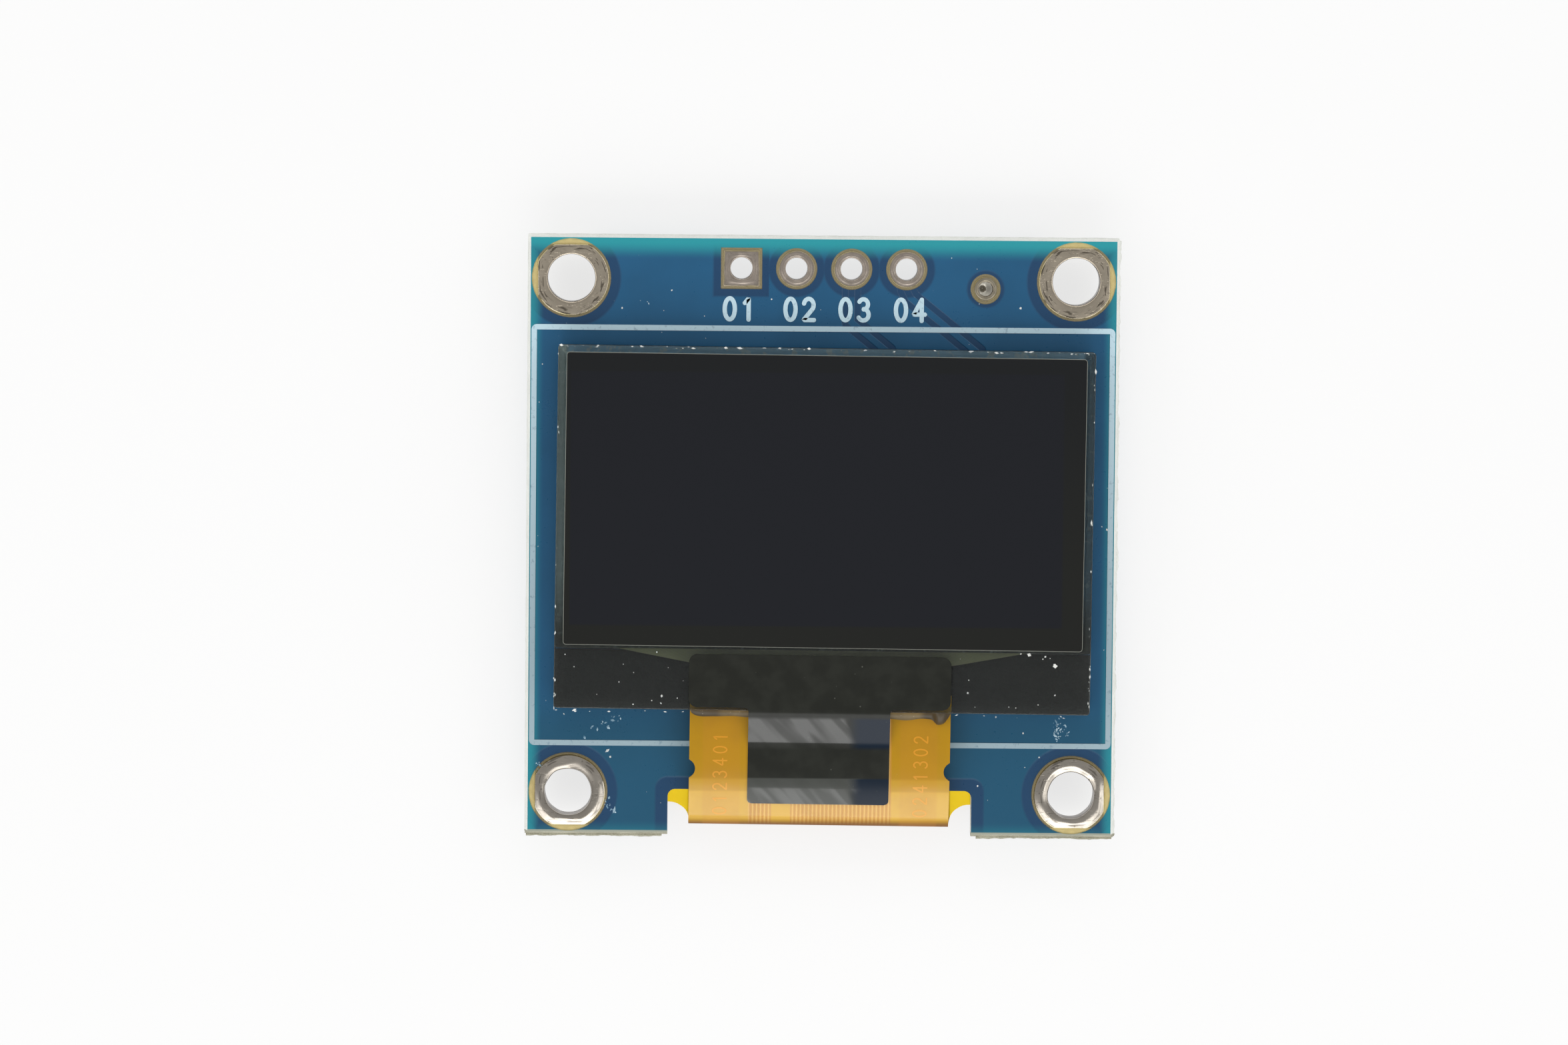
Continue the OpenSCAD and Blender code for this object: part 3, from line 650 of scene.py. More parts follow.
def mask_finish(colours, side):
    """Glossy solder mask: blue over copper, darker over clearances, and green-blue over bare laminate, where
    its teal is partly the mask's own colour and partly painted light coming through the laminate from behind
    and from the edges. The step of the copper shows in the gloss. Traces show as a lit line between two dark
    ones. On the front it is a shade greener low down, and its foot is as pale as the laminate."""
    n = Finish(side + "_mask", IOR=1.5)
    place = n.millimetres()
    y = n.parts(place)[1]
    flat = n.vector("MULTIPLY", place, (1.0, 1.0, 0.0))
    pour = n.group(copper_pour())
    line = n.least(*[n.segment(flat, a, b) for a, b in TRACES[side]])
    gap = n.ramp(line, 0.12, 0.17) * n.ramp(line, 0.46, 0.4)
    fine = n.group(grain(), scale=5.0)
    blue = n.mix(n.ramp(n.noise(place, 0.3, 3.0), 0.3, 0.75), colours.mask, scaled(colours.mask, 1.16))
    if side == "front":
        blue = n.mix(n.ramp(y, -6.5, -9.5, 0.0, 0.8), blue, paint(28, 80, 105))
    body = n.mix(n.most(pour["Clear"], gap) * 0.85, blue, colours.clearance)
    # Mask over bare laminate, lightened to teal by painted light coming through the laminate
    body = n.mix(pour["Border"], body, colours.border)
    if side == "front":
        body = n.mix(n.ramp(y, -13.66, -13.7), body, paint(160, 163, 148))
    dust = n.group(fine_dust(), amount=0.4, scale=2.6, size=0.1)
    n.set("Base Color", n.mix(dust["Mask"], body, paint(165, 180, 190)))
    n.set("Roughness", fine["Value"] * 0.06 + 0.27)
    return n.bump(pour["Height"] - gap * 0.8 + n.noise(place, 0.9, 2.0) * 0.12, 22, 0.8)


def ink_finish(colours):
    """Silkscreen ink: pinholed, so a little of the mask shows through. It is brighter towards the top, a
    painted light that falls more strongly from that side.
    """
    n = Finish("ink", Roughness=0.8)
    place = n.millimetres()
    pinhole = n.ramp(n.noise(place, 6.0, 2.0), 0.58, 0.75) * 0.3
    # Painted light: the ink goes from 0.8 to 1.32 of its colour from bottom to top
    bright = n.mix(n.ramp(n.parts(place)[1], -9.7, 9.5), scaled(colours.ink, 0.8), scaled(colours.ink, 1.32))
    n.set("Base Color", n.mix(pinhole, bright, colours.mask))
    return n.bump(n.group(grain(), scale=9.0)["Height"], 6)


def tin_finish(name, tint, rim, scale, scratches, roughness, bump, rim_from=0.95):
    """Tin with dull scratches; on a ring the map's share f gives it a thinner, yellower rim and gouges that
    run round the hole, and the barrel of the hole and the ring's inner edge next to it are darker."""
    n = Finish(name, Metallic=1.0)
    worn = n.group(worn_tin(), scale=scale, scratches=scratches)
    body = n.mix(worn["Cloud"] * 0.35, tint, scaled(tint, 0.62))
    if rim:
        place, film = n.millimetres(), n.out(0, "ShaderNodeUVMap", uv_map="Film")
        share = n.parts(film)[1]
        wander = share + (n.noise(place, 2.5, 2.0) * 0.08 - 0.04)
        thin = n.ramp(n.noise(place, 1.1, 1.0), 0.4, 0.6, 0.35, 1.0)
        body = n.mix(n.ramp(wander, rim_from - 0.03, rim_from + 0.03) * thin, body, rim)
        barrel = n.most(n.ramp(share, 0.03, 0.01), n.ramp(share, 0.3, 0.0, 0.0, 0.25))
        body = n.mix(barrel, body, paint(96, 84, 72))
        gouge = n.ramp(n.noise(n.stretched(film, (9.0, 4.0, 1.0)), scale, 1.0), 0.57, 0.64)
        body = n.mix(gouge * n.ramp(share, 0.35, 0.5) * scratches, body, paint(66, 58, 48))
    n.set("Base Color", n.mix(worn["Dull"] * 0.75, body, paint(80, 72, 62)))
    n.set("Roughness", worn["Cloud"] * 0.12 + roughness)
    return n.bump(worn["Height"], bump)


def tinned(name, look):
    """One of the module's tins: its tint and rim, the scale of its wear, how scratched and how rough it
    is, the height of its bumps in micrometres, and where its rim starts."""
    return named(name, tin_finish, name, *{
        "tin_flat": (look.tin, look.rim, 1.8, 0.7, 0.24, 8),
        "tin_bright": (paint(206, 198, 186), look.rim, 1.2, 0.5, 0.22, 9),
        "tin_header": (paint(206, 193, 180), paint(200, 186, 144), 3.4, 0.2, 0.28, 6, 0.86),
        "tin_test": (paint(168, 159, 140), paint(184, 168, 120), 3.4, 0.2, 0.34, 6, 0.82),
        "tin_plug": (paint(198, 194, 182), None, 3.0, 0.2, 0.35, 10),
        "tin_pads": (look.tin, None, 3.0, 0.3, 0.3, 10),
        "tin_caps": (paint(226, 222, 214), None, 4.0, 0.3, 0.3, 8),
        "solder": (paint(226, 224, 216), None, 3.0, 0.2, 0.2, 20),
    }[name])


def foam_finish():
    """Closed-cell black foam."""
    n = Finish("foam", Roughness=0.9)
    cell = n.cells(n.millimetres(), 9.0)
    n.set("Base Color", n.mix(n.ramp(cell, 0.1, 0.6), paint(5, 5, 4), paint(16, 16, 14)))
    return n.bump(cell, 40)


def glass_finish():
    """Clear float glass with a faint grey-green depth; its polish is even on the faces, and its sides
    are ground."""
    n = Finish("glass", IOR=1.5, Transmission_Weight=1.0)
    fine = n.group(grain(), scale=1.2)
    n.set("Base Color", n.mix(fine["Value"], paint(226, 236, 232), paint(234, 242, 239)))
    ground = n.ramp(abs(n.height_of_normal()), 0.97, 0.6)
    n.set("Roughness", fine["Value"] * 0.015 + (ground * 0.45 + 0.005))
    return n.bump(ground * fine["Height"], 6)


def polariser_finish(colours):
    """Polariser film: near black, a shade cooler over the lit area, with a pale olive painted highlight on
    its cut edge.
    """
    n = Finish("polariser", IOR=1.5)
    low, high = (corner.tolist() for corner in span("polariser"))
    place = n.millimetres()
    x, y, z = n.parts(place)
    inside = n.least(x - (low[0] + 0.25), (high[0] - 1.0) - x, y - (low[1] + 1.0), (high[1] - 0.8) - y)
    border = n.mix(n.ramp(y, low[1] + 2.0, high[1]), paint(24, 25, 22), paint(19, 21, 23))
    body = n.mix(n.ramp(inside, -0.04, 0.04), border, colours.polariser)
    # Painted highlight: the cut edge, just below the top face, takes a pale olive colour
    n.set("Base Color", n.mix(n.ramp(z, high[2] - 0.003, high[2] - 0.015), body, paint(168, 170, 158)))
    n.set("Roughness", n.noise(place, 0.25, 2.0) * 0.08 + 0.06)
    return n.bump(n.noise(place, 0.5, 1.0), 3)


def seal_finish():
    """Clouded seal between the glasses, with paler lumps. Its lighter grey down the left side, bluer tone
    along the top and darker tone down the right side are painted light and shade; it is darker still over the
    ledge."""
    n = Finish("seal", Roughness=0.5)
    place = n.millimetres()
    x, y, z = n.parts(place)
    # Painted light and shade: a lit grey down the left side, a bluer top and a shaded right side
    body = n.mix(n.ramp(x, -11.6, -11.9), paint(142, 180, 214), paint(134, 146, 150))
    body = n.mix(n.ramp(x, 11.9, 12.1), body, paint(62, 92, 114))
    body = n.mix(n.ramp(y, -1.5, -5.0), body, paint(34, 35, 32))
    lump = n.ramp(n.noise(place, 3.0, 3.0), 0.54, 0.66) * n.ramp(y, 8.0, 8.4, 0.1, 0.6)
    n.set("Base Color", n.mix(lump, body, paint(196, 204, 206)))
    return n.bump(n.noise(place, 5.0, 2.0), 2)


def silicon_finish():
    """Polished back of a bare chip, with grinding marks."""
    n = Finish("silicon", Metallic=0.6, Roughness=0.25)
    hair = n.noise(n.stretched(n.millimetres(), (1.0, 14.0, 1.0)), 3.0, 2.0)
    n.set("Base Color", n.mix(hair, paint(48, 50, 56), paint(92, 95, 102)))
    return n.bump(hair, 2)


def flex_finish(colours):
    """Polyimide film: amber over the board; paler in two steps low down, painted light that comes through the
    film from behind near and over the notch; yellow where it is bare, with a painted glow of that backlight;
    and darker round the fold, painted shade of the bend. Copper conductors run along it as fine lines across
    x."""
    # The emission serves the ear's painted glow, set further down
    n = Finish("flex", IOR=1.6, Emission_Strength=1.0)
    place = n.millimetres()
    x, y, z = n.parts(place)
    ax, upper = abs(x), n.ramp(z, 0.0, 0.3)
    # Painted light: two paler steps on the front layer low down, where light comes through the film from
    # behind
    pale = (n.ramp(y, -11.1, -11.26, 0.0, 0.42) + n.ramp(y, -11.7, -11.82, 0.0, 0.58)) * upper
    body = n.mix(pale, colours.flex, colours.flex_light)
    # The bare ear in the notch: its bright yellow is partly the film's own colour and partly painted
    # backlight
    notch = n.ramp(y, -11.6, -11.8) * (1.0 - upper) * n.ramp(n.height_of_normal(), 0.0, 0.3)
    ear = notch * n.ramp(ax, 6.0, 6.15)
    body = n.mix(ear, body, colours.ear)
    line = n.ramp(n.maths("SINE", x * (2 * math.pi / CONDUCTOR_PITCH)), -0.25, 0.5)
    bundle = n.ramp(ax, 3.34, 3.26) * n.ramp(abs(x + 1.8), 0.42, 0.47)
    copper = n.mix(upper, paint(176, 116, 30), n.mix(line, paint(196, 138, 50), paint(224, 176, 88)))
    body = n.mix(bundle * (upper * 0.4 + 0.45), body, copper)
    # Painted shade: the film darkens round the fold, where the bend turns away from the light
    body = n.mix(n.ramp(y, -13.0, -13.4) * 0.95, body, paint(110, 64, 2))
    leg = n.ramp(ax, 3.6, 3.8) * n.ramp(ax, 5.5, 5.35)
    body = n.mix(leg * 0.18, body, paint(196, 128, 40))
    cloud = n.noise(place, 0.8, 3.0)
    body = n.mix(n.ramp(cloud, 0.4, 0.8) * 0.15, body, paint(140, 96, 20))
    dust = n.group(fine_dust(), amount=0.5, scale=3.0, size=0.08)
    n.set("Base Color", n.mix(dust["Mask"], body, paint(240, 222, 180)))
    n.set("Roughness", cloud * 0.1 + n.ramp(y, -12.95, -13.2, 0.16, 0.8))
    # Painted glow: the ear emits a dim yellow that stands in for light coming through it from behind
    n.set("Emission Color", n.mix(ear, (0, 0, 0, 1), scaled(colours.ear, 0.42)))
    return n.bump(line * bundle * 0.6 + n.noise(place, 0.45, 1.0) * 1.5, 12)


def print_finish():
    """Copper numbers under the film, paler low down, a painted light that comes through the film from behind.
    """
    n = Finish("print", Roughness=0.35)
    place = n.millimetres()
    # Painted light: the numbers are paler below y = -11.2, where light comes through the film
    painted_backlight_share = n.ramp(n.parts(place)[1], -11.2, -11.7)
    n.set("Base Color", n.mix(painted_backlight_share, paint(212, 146, 30), paint(228, 166, 66)))
    return n.bump(n.noise(place, 6.0, 1.0), 1)


def resin_finish(colours):
    """Clear resin clouded with tiny bubbles, darker towards its ends."""
    n = Finish("resin", IOR=1.5)
    place = n.millimetres()
    cloud = n.noise(place, 1.3, 3.0)
    bubble = n.ramp(n.cells(place, 5.0), 0.12, 0.05)
    body = n.mix(n.ramp(cloud, 0.35, 0.7), colours.resin, scaled(colours.resin, 0.55))
    body = n.mix(n.ramp(abs(n.parts(place)[0]), 4.5, 4.9), body, paint(68, 56, 34))
    n.set("Base Color", n.mix(bubble, body, paint(176, 166, 142)))
    n.set("Roughness", cloud * 0.3 + 0.35)
    return n.bump(cloud, 12)


def tape_finish(colours):
    """Black light-shield tape. Below the bar and at the stem's end it is glossy in bands that slant down to
    the right and stop at a ragged line. Right of it the tape carries a painted bluish reflection, and at the
    stem's end, left of it, a paler painted reflection."""
    n = Finish("tape", IOR=1.5, Specular_IOR_Level=0.2, Roughness=0.2, Coat_Roughness=0.06)
    place = n.millimetres()
    x, y, z = n.parts(place)
    slant = n.stretched(place, (4.5, 0.75, 4.0), -0.83, "TEXTURE")
    band = n.ramp(n.noise(slant, 1.3, 1.0, 0.6), 0.4, 0.58)
    ragged = x + (n.noise(slant, 0.9, 1.0) * 1.6 - 0.8)
    zone = n.most(n.ramp(y, -8.2, -8.4) * n.ramp(y, -9.85, -9.6), n.ramp(y, -11.1, -11.2))
    n.set("Coat Weight", n.ramp(ragged, 1.75, 1.2) * zone * (band * 0.62 + 0.38))
    shade = n.mix(n.ramp(n.noise(place, 1.1, 2.0), 0.35, 0.7), colours.tape, scaled(colours.tape, 1.3))
    # Painted reflection: the stem's end, left of the ragged line, is lightened as if it caught a bright
    # reflection
    pale = n.ramp(ragged, 2.0, 1.4) * n.ramp(y, -11.1, -11.17)
    shade = n.mix(pale, shade, paint(66, 68, 64))
    # Painted reflection: right of x = 1.2, in the glossy zones, the tape is tinted blue
    shade = n.mix(n.ramp(x, 1.2, 1.9) * zone, shade, paint(20, 32, 46))
    dust = n.group(fine_dust(), amount=0.6, scale=2.2, size=0.11)
    n.set("Base Color", n.mix(dust["Mask"], shade, paint(150, 150, 140)))
    return n.bump(n.noise(place, 0.6, 1.0) + band * 0.1, 6)


def fan_out_finish(colours):
    """Conductors on the back of the glass, as close slanting lines."""
    n = Finish("fan_out", Roughness=0.4, IOR=1.5)
    x, y, z = n.parts(n.millimetres())
    lines = n.maths("SINE", abs(x) * 24.0 + y * 90.0)
    n.set("Base Color", n.mix(n.ramp(lines, -0.5, 0.6, 0.0, 0.4), colours.fan_out, paint(80, 82, 64)))
    return n.bump(lines, 1)


def moulding_finish():
    """Moulded epoxy package with spark-eroded grain."""
    n = Finish("moulding")
    fine = n.group(grain(), scale=22.0)
    n.set("Base Color", n.mix(fine["Value"], paint(24, 24, 26), paint(44, 44, 46)))
    n.set("Roughness", fine["Value"] * 0.2 + 0.4)
    return n.bump(fine["Height"], 12)


def ceramic_finish(name, dark, light, rough):
    """Fired ceramic or glass coat of a chip part, slightly mottled."""
    n = Finish(name, Roughness=rough)
    fine = n.group(grain(), scale=11.0)
    n.set("Base Color", n.mix(fine["Value"], dark, light))
    return n.bump(fine["Height"], 5)


def cloudy_finish(name, rough, scale, low, high, dark, light, bump):
    """A matt stuff whose colour varies a little from place to place."""
    n = Finish(name, Roughness=rough)
    cloud = n.noise(n.millimetres(), scale, 1.0)
    n.set("Base Color", n.mix(n.ramp(cloud, low, high), dark, light))
    return n.bump(cloud, bump)


def floor_finish():
    """White floor that keeps soft shadows. Camera, gloss and clear pieces see it almost at full white;
    from underneath, and for light on its way up, it isn't there."""
    n = Finish("floor", Roughness=0.9)
    cloud = n.noise(n.millimetres(), 0.02, 2.0)
    n.set("Base Color", n.mix(cloud, paint(246, 246, 245), paint(249, 249, 248)))
    light = n.outputs(n.add("ShaderNodeLightPath"))
    seen = n.most(light["Is Glossy Ray"], light["Is Transmission Ray"], light["Is Camera Ray"])
    glow = n.out(0, "ShaderNodeEmission", {"Color": (1, 1, 1, 1), "Strength": 0.97})
    lit = n.out(0, "ShaderNodeMixShader", {0: seen * 0.74, 1: Value(n, n.shader.outputs[0]), 2: glow})
    away = n.most(n.out("Backfacing", "ShaderNodeNewGeometry"), light["Is Shadow Ray"])
    clear = n.out(0, "ShaderNodeBsdfTransparent")
    whole = n.out(0, "ShaderNodeMixShader", {0: away, 1: lit, 2: clear})
    n.feed(n.tree.nodes["Material Output"].inputs["Surface"], whole)
    return n.material


def dress(finish, *nodes):
    """Gives carried-over CAD nodes a finish in their own material slots."""
    for node in nodes:
        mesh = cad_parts[node].data
        mesh.materials.clear()
        mesh.materials.append(finish)


def named(name, build, *values):
    """A finish made once and then shared."""
    return bpy.data.materials.get("module_" + name) or build(*values)


# ---------------------------------------------------------------- operators

class DISPLAY_OT_finish_board(bpy.types.Operator):
    """Give the laminate its weave and add the torn fibres along its snapped edges"""
    bl_idname = "display_module.finish_board"
    bl_label = "Laminate"

    def execute(self, context):
        look, sizes = context.scene.display_colours, context.scene.display_sizes
        laminate = named("laminate", laminate_finish, look)
        dress(laminate, "circuit_board")
        low, high = span("circuit_board")
        reach = sizes.web_roughness / MM
        gap = NOTCH_X + 0.2
        (left, bottom), (right, top) = low[:2], high[:2]
        runs = [((right, bottom), (right, top), 1.2, 1.0), ((left, top), (left, bottom), 0.25, 1.0),
                ((right, top), (left, top), 0.3, 1.0), ((left, bottom), (-gap, bottom), 2.4, 0.3),
                ((gap, bottom), (right, bottom), 2.4, 0.3)]
        webs = [(*self.web(np.array(a), np.array(b), reach * share, torn, seed), 0)
                for seed, (a, b, share, torn) in enumerate(runs, 1)]
        add_piece("snapped_edges", webs, [laminate], sharp=60)
        return {"FINISHED"}

    @staticmethod
    def web(start, stop, reach, raggedness, seed):
        """The torn web between two V-scores: a band carried along an edge of the board, whose outer
        face stands out by half the reach, more or less by a slow and a fine waviness times the
        raggedness. It reaches less far at its top and bottom."""
        run = stop - start
        s = np.arange(0.05, np.linalg.norm(run) - 0.05, 0.07)
        along = run / np.linalg.norm(run)
        out = np.array([along[1], -along[0]])
        level = np.array([0.44, 0.52, 0.6, 0.68, 0.76])
        torn = [reach * np.clip(0.5 + raggedness * (0.42 * ripple(s, 0.55, seed)
                                                    + 0.25 * ripple(s, 0.13, seed * 10 + k)), 0, 1.2)
                * (1 - 0.35 * abs(k - 2)) for k in range(5)]
        torn = np.stack([t + 0.012 for t in torn], 1)
        depth = np.concatenate([np.full((len(s), 1), -0.06), torn, np.full((len(s), 1), -0.06)], 1)
        z = np.concatenate([level[:1], level, level[-1:]])
        flat = start + s[:, None, None] * along + depth[:, :, None] * out
        return tube(np.concatenate([flat, np.broadcast_to(z[None, :, None], (*depth.shape, 1))], -1))


class DISPLAY_OT_coat_masks(bpy.types.Operator):
    """Coat both faces of the board with solder mask over its copper pour"""
    bl_idname = "display_module.coat_masks"
    bl_label = "Solder masks"

    def execute(self, context):
        look = context.scene.display_colours
        dress(named("front_mask", mask_finish, look, "front"), "front_solder_mask")
        dress(named("back_mask", mask_finish, look, "back"), "back_solder_mask")
        return {"FINISHED"}


class DISPLAY_OT_print_ink(bpy.types.Operator):
    """Print the outline round the display and plain numbers under the header holes"""
    bl_idname = "display_module.print_ink"
    bl_label = "Silkscreen"

    def execute(self, context):
        look, sizes = context.scene.display_colours, context.scene.display_sizes
        ink = named("ink", ink_finish, look)
        dress(ink, "silkscreen_outline")
        low, high = span("silkscreen_outline")
        height = sizes.label_height / MM
        slimness, foot_y, pen, layer = 0.6, 10.04, 0.2, 0.0015
        strokes = []
        for number, centre in enumerate((-3.92, -1.12, 1.42, 3.98), 1):
            for figure, side in ((0, -0.42), (number, 0.42)):
                for above, line in enumerate(digit(figure)):
                    place = np.array(line) * [height * slimness, height] + [centre + side, foot_y]
                    strokes.append((*pen_stroke(place, pen, low[2], high[2] + layer * above), 0))
        add_piece("pin_numbers", strokes, [ink])
        return {"FINISHED"}


class DISPLAY_OT_tin_mounting_rings(bpy.types.Operator):
    """Tin the four mounting rings; the lower two carry more tin, ragged round the hole"""
    bl_idname = "display_module.tin_mounting_rings"
    bl_label = "Mounting rings"

    def execute(self, context):
        look, sizes = context.scene.display_colours, context.scene.display_sizes
        dome = sizes.solder_dome / MM
        flat_tin, bright_tin = tinned("tin_flat", look), tinned("tin_bright", look)
        places = [(-HOLE_X, HOLE_Y), (HOLE_X, HOLE_Y), (-HOLE_X, -HOLE_Y), (HOLE_X, -HOLE_Y)]
        for number, place in enumerate(places, 1):
            node = "mount_eyelet_%d" % number
            low, high = span(node)
            lower = place[1] < 0
            shell, film = ring_shell(
                place, self.reach(place), HOLE_R, (span("circuit_board")[1][2], high[2]), (0.0, low[2]),
                self.tin(dome * (2.5 if lower else 0.4), number, lower, 1.0 if place[0] > 0 else 0.45),
                (lambda t, seed=number: 0.03 + 0.03 * wavy(t[:, :1], 40 + seed)) if lower else None)
            add_piece("mount_ring_%d" % number, [(*shell, 0)], [bright_tin if lower else flat_tin],
                      [node], uv=film, sharp=60)
        return {"FINISHED"}

    @staticmethod
    def reach(place):
        """Radius of the ring at angle t: the circle, or the straight cut near the board's edges."""
        cut_x = RING_LIMIT[0] - abs(place[0])
        cut_y = RING_LIMIT[1] - abs(place[1])

        def radius(t):
            across = np.maximum(np.cos(t) * np.sign(place[0]), 1e-6)
            along = np.maximum(np.sin(t) * np.sign(place[1]), 1e-6)
            return np.minimum(RING_R, np.minimum(cut_x / across, cut_y / along))
        return radius

    @staticmethod
    def tin(dome, seed, lower, rim_share):
        """Thickness of tin. On the upper rings it is dome sin(pi f^p) (1 + 0.3 waviness), where p wavers
        about 0.85. On the lower ones the tin ran down: below the hole it is level and then falls smoothly to
        the rim, above the hole it rises by rim_share of itself from the hole's edge and is then level."""
        def step(u):
            u = np.clip(u, 0, 1)
            return u * u * (3 - 2 * u)

        def height(t, f):
            if not lower:
                bow = np.sin(np.pi * np.clip(f, 0, 1) ** (0.85 + 0.22 * wavy(t, seed)))
                return dome * bow * (1 + 0.3 * wavy(t, 20 + seed))
            below = step(0.55 - 0.9 * np.sin(t - 0.3))
            edge = 0.4 + 0.14 * wavy(t, seed)
            falls = 1 - step((f - edge) / (1.02 - edge))
            rises = 1 - rim_share * (1 - step(f / (0.42 + 0.24 * wavy(t, 20 + seed))))
            return dome * (below * falls + (1 - below) * rises)
        return height


class DISPLAY_OT_tin_header_rings(bpy.types.Operator):
    """Tin the four header rings, the first square, and the test point with its plug of solder"""
    bl_idname = "display_module.tin_header_rings"
    bl_label = "Header rings and test point"

    def execute(self, context):
        look = context.scene.display_colours
        bright, dull = tinned("tin_header", look), tinned("tin_test", look)
        board_top = span("circuit_board")[1][2]
        for number, x in enumerate(HEADER_X, 1):
            self.ring("header_ring_%d" % number, "header_eyelet_%d" % number, (x, HEADER_Y), 0.51, 0.825,
                      number == 1, bright, board_top, number)
        self.ring("test_ring", "test_point_eyelet", (TEST_X, TEST_Y), 0.33, 0.57, False, dull, board_top, 9)
        add_piece("test_plug", [(*self.plug(), 0)], [tinned("tin_plug", look)],
                  ["test_point_solder"])
        return {"FINISHED"}

    @staticmethod
    def ring(name, node, place, hole, radius, square, tin, board_top, seed):
        low, high = span(node)

        def reach(t):
            across = np.maximum(abs(np.cos(t)), abs(np.sin(t)))
            return radius / across if square else radius + 0 * t

        def height(t, f):
            lip = np.exp(-((f - 0.42) / 0.2) ** 2)
            return 0.02 * lip * (1 + 0.4 * wavy(t, seed)) + 0.003 * wavy(t, seed + 30) * f
        shell, film = ring_shell(place, reach, hole, (board_top, high[2]), (0.0, low[2]), height, turns=72)
        add_piece(name, [(*shell, 0)], [tin], [node], uv=film, sharp=60)

    @staticmethod
    def plug():
        """Solder standing in the hole: at radius r and angle t its top has the height
        top + 0.05 (r / wall)^2 - 0.03 cos(t - 1) r / wall - 0.16 exp(-d^2 / 0.012), where d is the
        distance from a pit left of the middle."""
        low, high = span("test_point_solder")
        t = np.linspace(0, 2 * np.pi, 40, endpoint=False)[None, :]
        wall = 0.32
        r = np.concatenate([np.linspace(0.01, wall, 8), np.full(6, wall), np.linspace(wall, 0.01, 14)])
        r = r[:, None]
        x, y = r * np.cos(t), r * np.sin(t)
        pit = 0.16 * np.exp(-((x + 0.13) ** 2 + (y - 0.02) ** 2) / 0.012)
        top = high[2] + 0.05 * (r / wall) ** 2 - 0.03 * np.cos(t - 1) * (r / wall) - pit
        level = np.concatenate([np.full(8, 0.0), np.linspace(0.05, 0.9, 6), np.ones(14)])[:, None]
        z = low[2] + (top - low[2]) * level
        return tube(np.stack([TEST_X + x, TEST_Y + y, z], -1))


class DISPLAY_OT_lay_foam(bpy.types.Operator):
    """Give the foam under the display its cells"""
    bl_idname = "display_module.lay_foam"
    bl_label = "Foam"

    def execute(self, context):
        foam = named("foam", foam_finish)
        dress(foam, "adhesive_pad")
        low, high = span("ledge_foam")
        glass_low, glass_high = span("front_glass")
        low[:2] = glass_low[0] + 0.08, glass_low[1] + GROUND_BACK + 0.05
        high[:2] = glass_high[0] - 0.08, span("cap_glass")[0][1] - 0.04
        add_piece("ledge_foam_strip", [glued(rounded_block(low, high, 0.06, 0.1))], [foam],
                  ["ledge_foam"], sharp=20)
        return {"FINISHED"}


class DISPLAY_OT_fit_display(bpy.types.Operator):
    """Fit the two glasses with their ground edges, the conductors on the ledge, the driver chip and
    the polariser"""
    bl_idname = "display_module.fit_display"
    bl_label = "Display"

    def execute(self, context):
        look, sizes = context.scene.display_colours, context.scene.display_sizes
        glass = named("glass", glass_finish)
        edge, seam = sizes.glass_edge / MM, 0.004
        for name, lift, back in (("cap_glass", (0, -seam), 0.0), ("front_glass", (seam, 0), GROUND_BACK)):
            low, high = span(name)
            low, high = low + [0, back, lift[0]], high + [0, 0, lift[1]]
            add_piece(name + "_ground", [glued(rounded_block(low, high, edge, 0.15))], [glass],
                      [name], sharp=20)
        dress(named("silicon", silicon_finish), "driver_chip")
        low, high = span("polariser")
        add_piece("polariser_film", [glued(rounded_block(low, high, 0.04, 0.15))],
                  [named("polariser", polariser_finish, look)], ["polariser"], sharp=20)
        add_piece("edge_seal", [glued(self.seal(seam / 2))], [named("seal", seal_finish)])
        add_piece("ledge_conductors", [glued(self.fan_out())],
                  [named("fan_out", fan_out_finish, look)])
        return {"FINISHED"}

    @staticmethod
    def seal(half):
        """The seal between the two glasses: a flat frame from near their edges in under the polariser."""
        low, high = span("cap_glass")
        under_low, under_high = span("polariser")
        outer = rounded_outline(low[:2] + 0.03, high[:2] - 0.03, 0.12)
        inner = rounded_outline(under_low[:2] + 0.15, under_high[:2] - 0.15, 0.12)
        rings = [np.column_stack([line, np.full(24, high[2] + z)])
                 for line, z in ((outer, -half), (outer, half), (inner, half), (inner, -half))]
        return tube(np.array(rings), endless=True)

    @staticmethod
    def fan_out():
        """Conductors on the back of the ledge: a film from behind the polariser down to the line
        y = foot - drop g - 0.01, where g rises evenly from 0 at 9.9 mm from x = 0.05 to 1 at 6 mm."""
        foot, drop = span("polariser")[0][1] - 0.06, 0.72
        z = span("front_glass")[0][2]
        x = np.linspace(-9.85, 9.95, 100)
        g = np.clip((9.9 - abs(x - 0.05)) / 3.9, 0, 1)
        y = foot - drop * g - 0.01
        top = np.full_like(x, foot + 0.5)
        rings = np.stack([np.column_stack([x, edge, np.full_like(x, z - h)])
                          for edge, h in ((y, 0.02), (top, 0.02), (top, 0.006), (y, 0.006))], 1)
        return tube(rings)


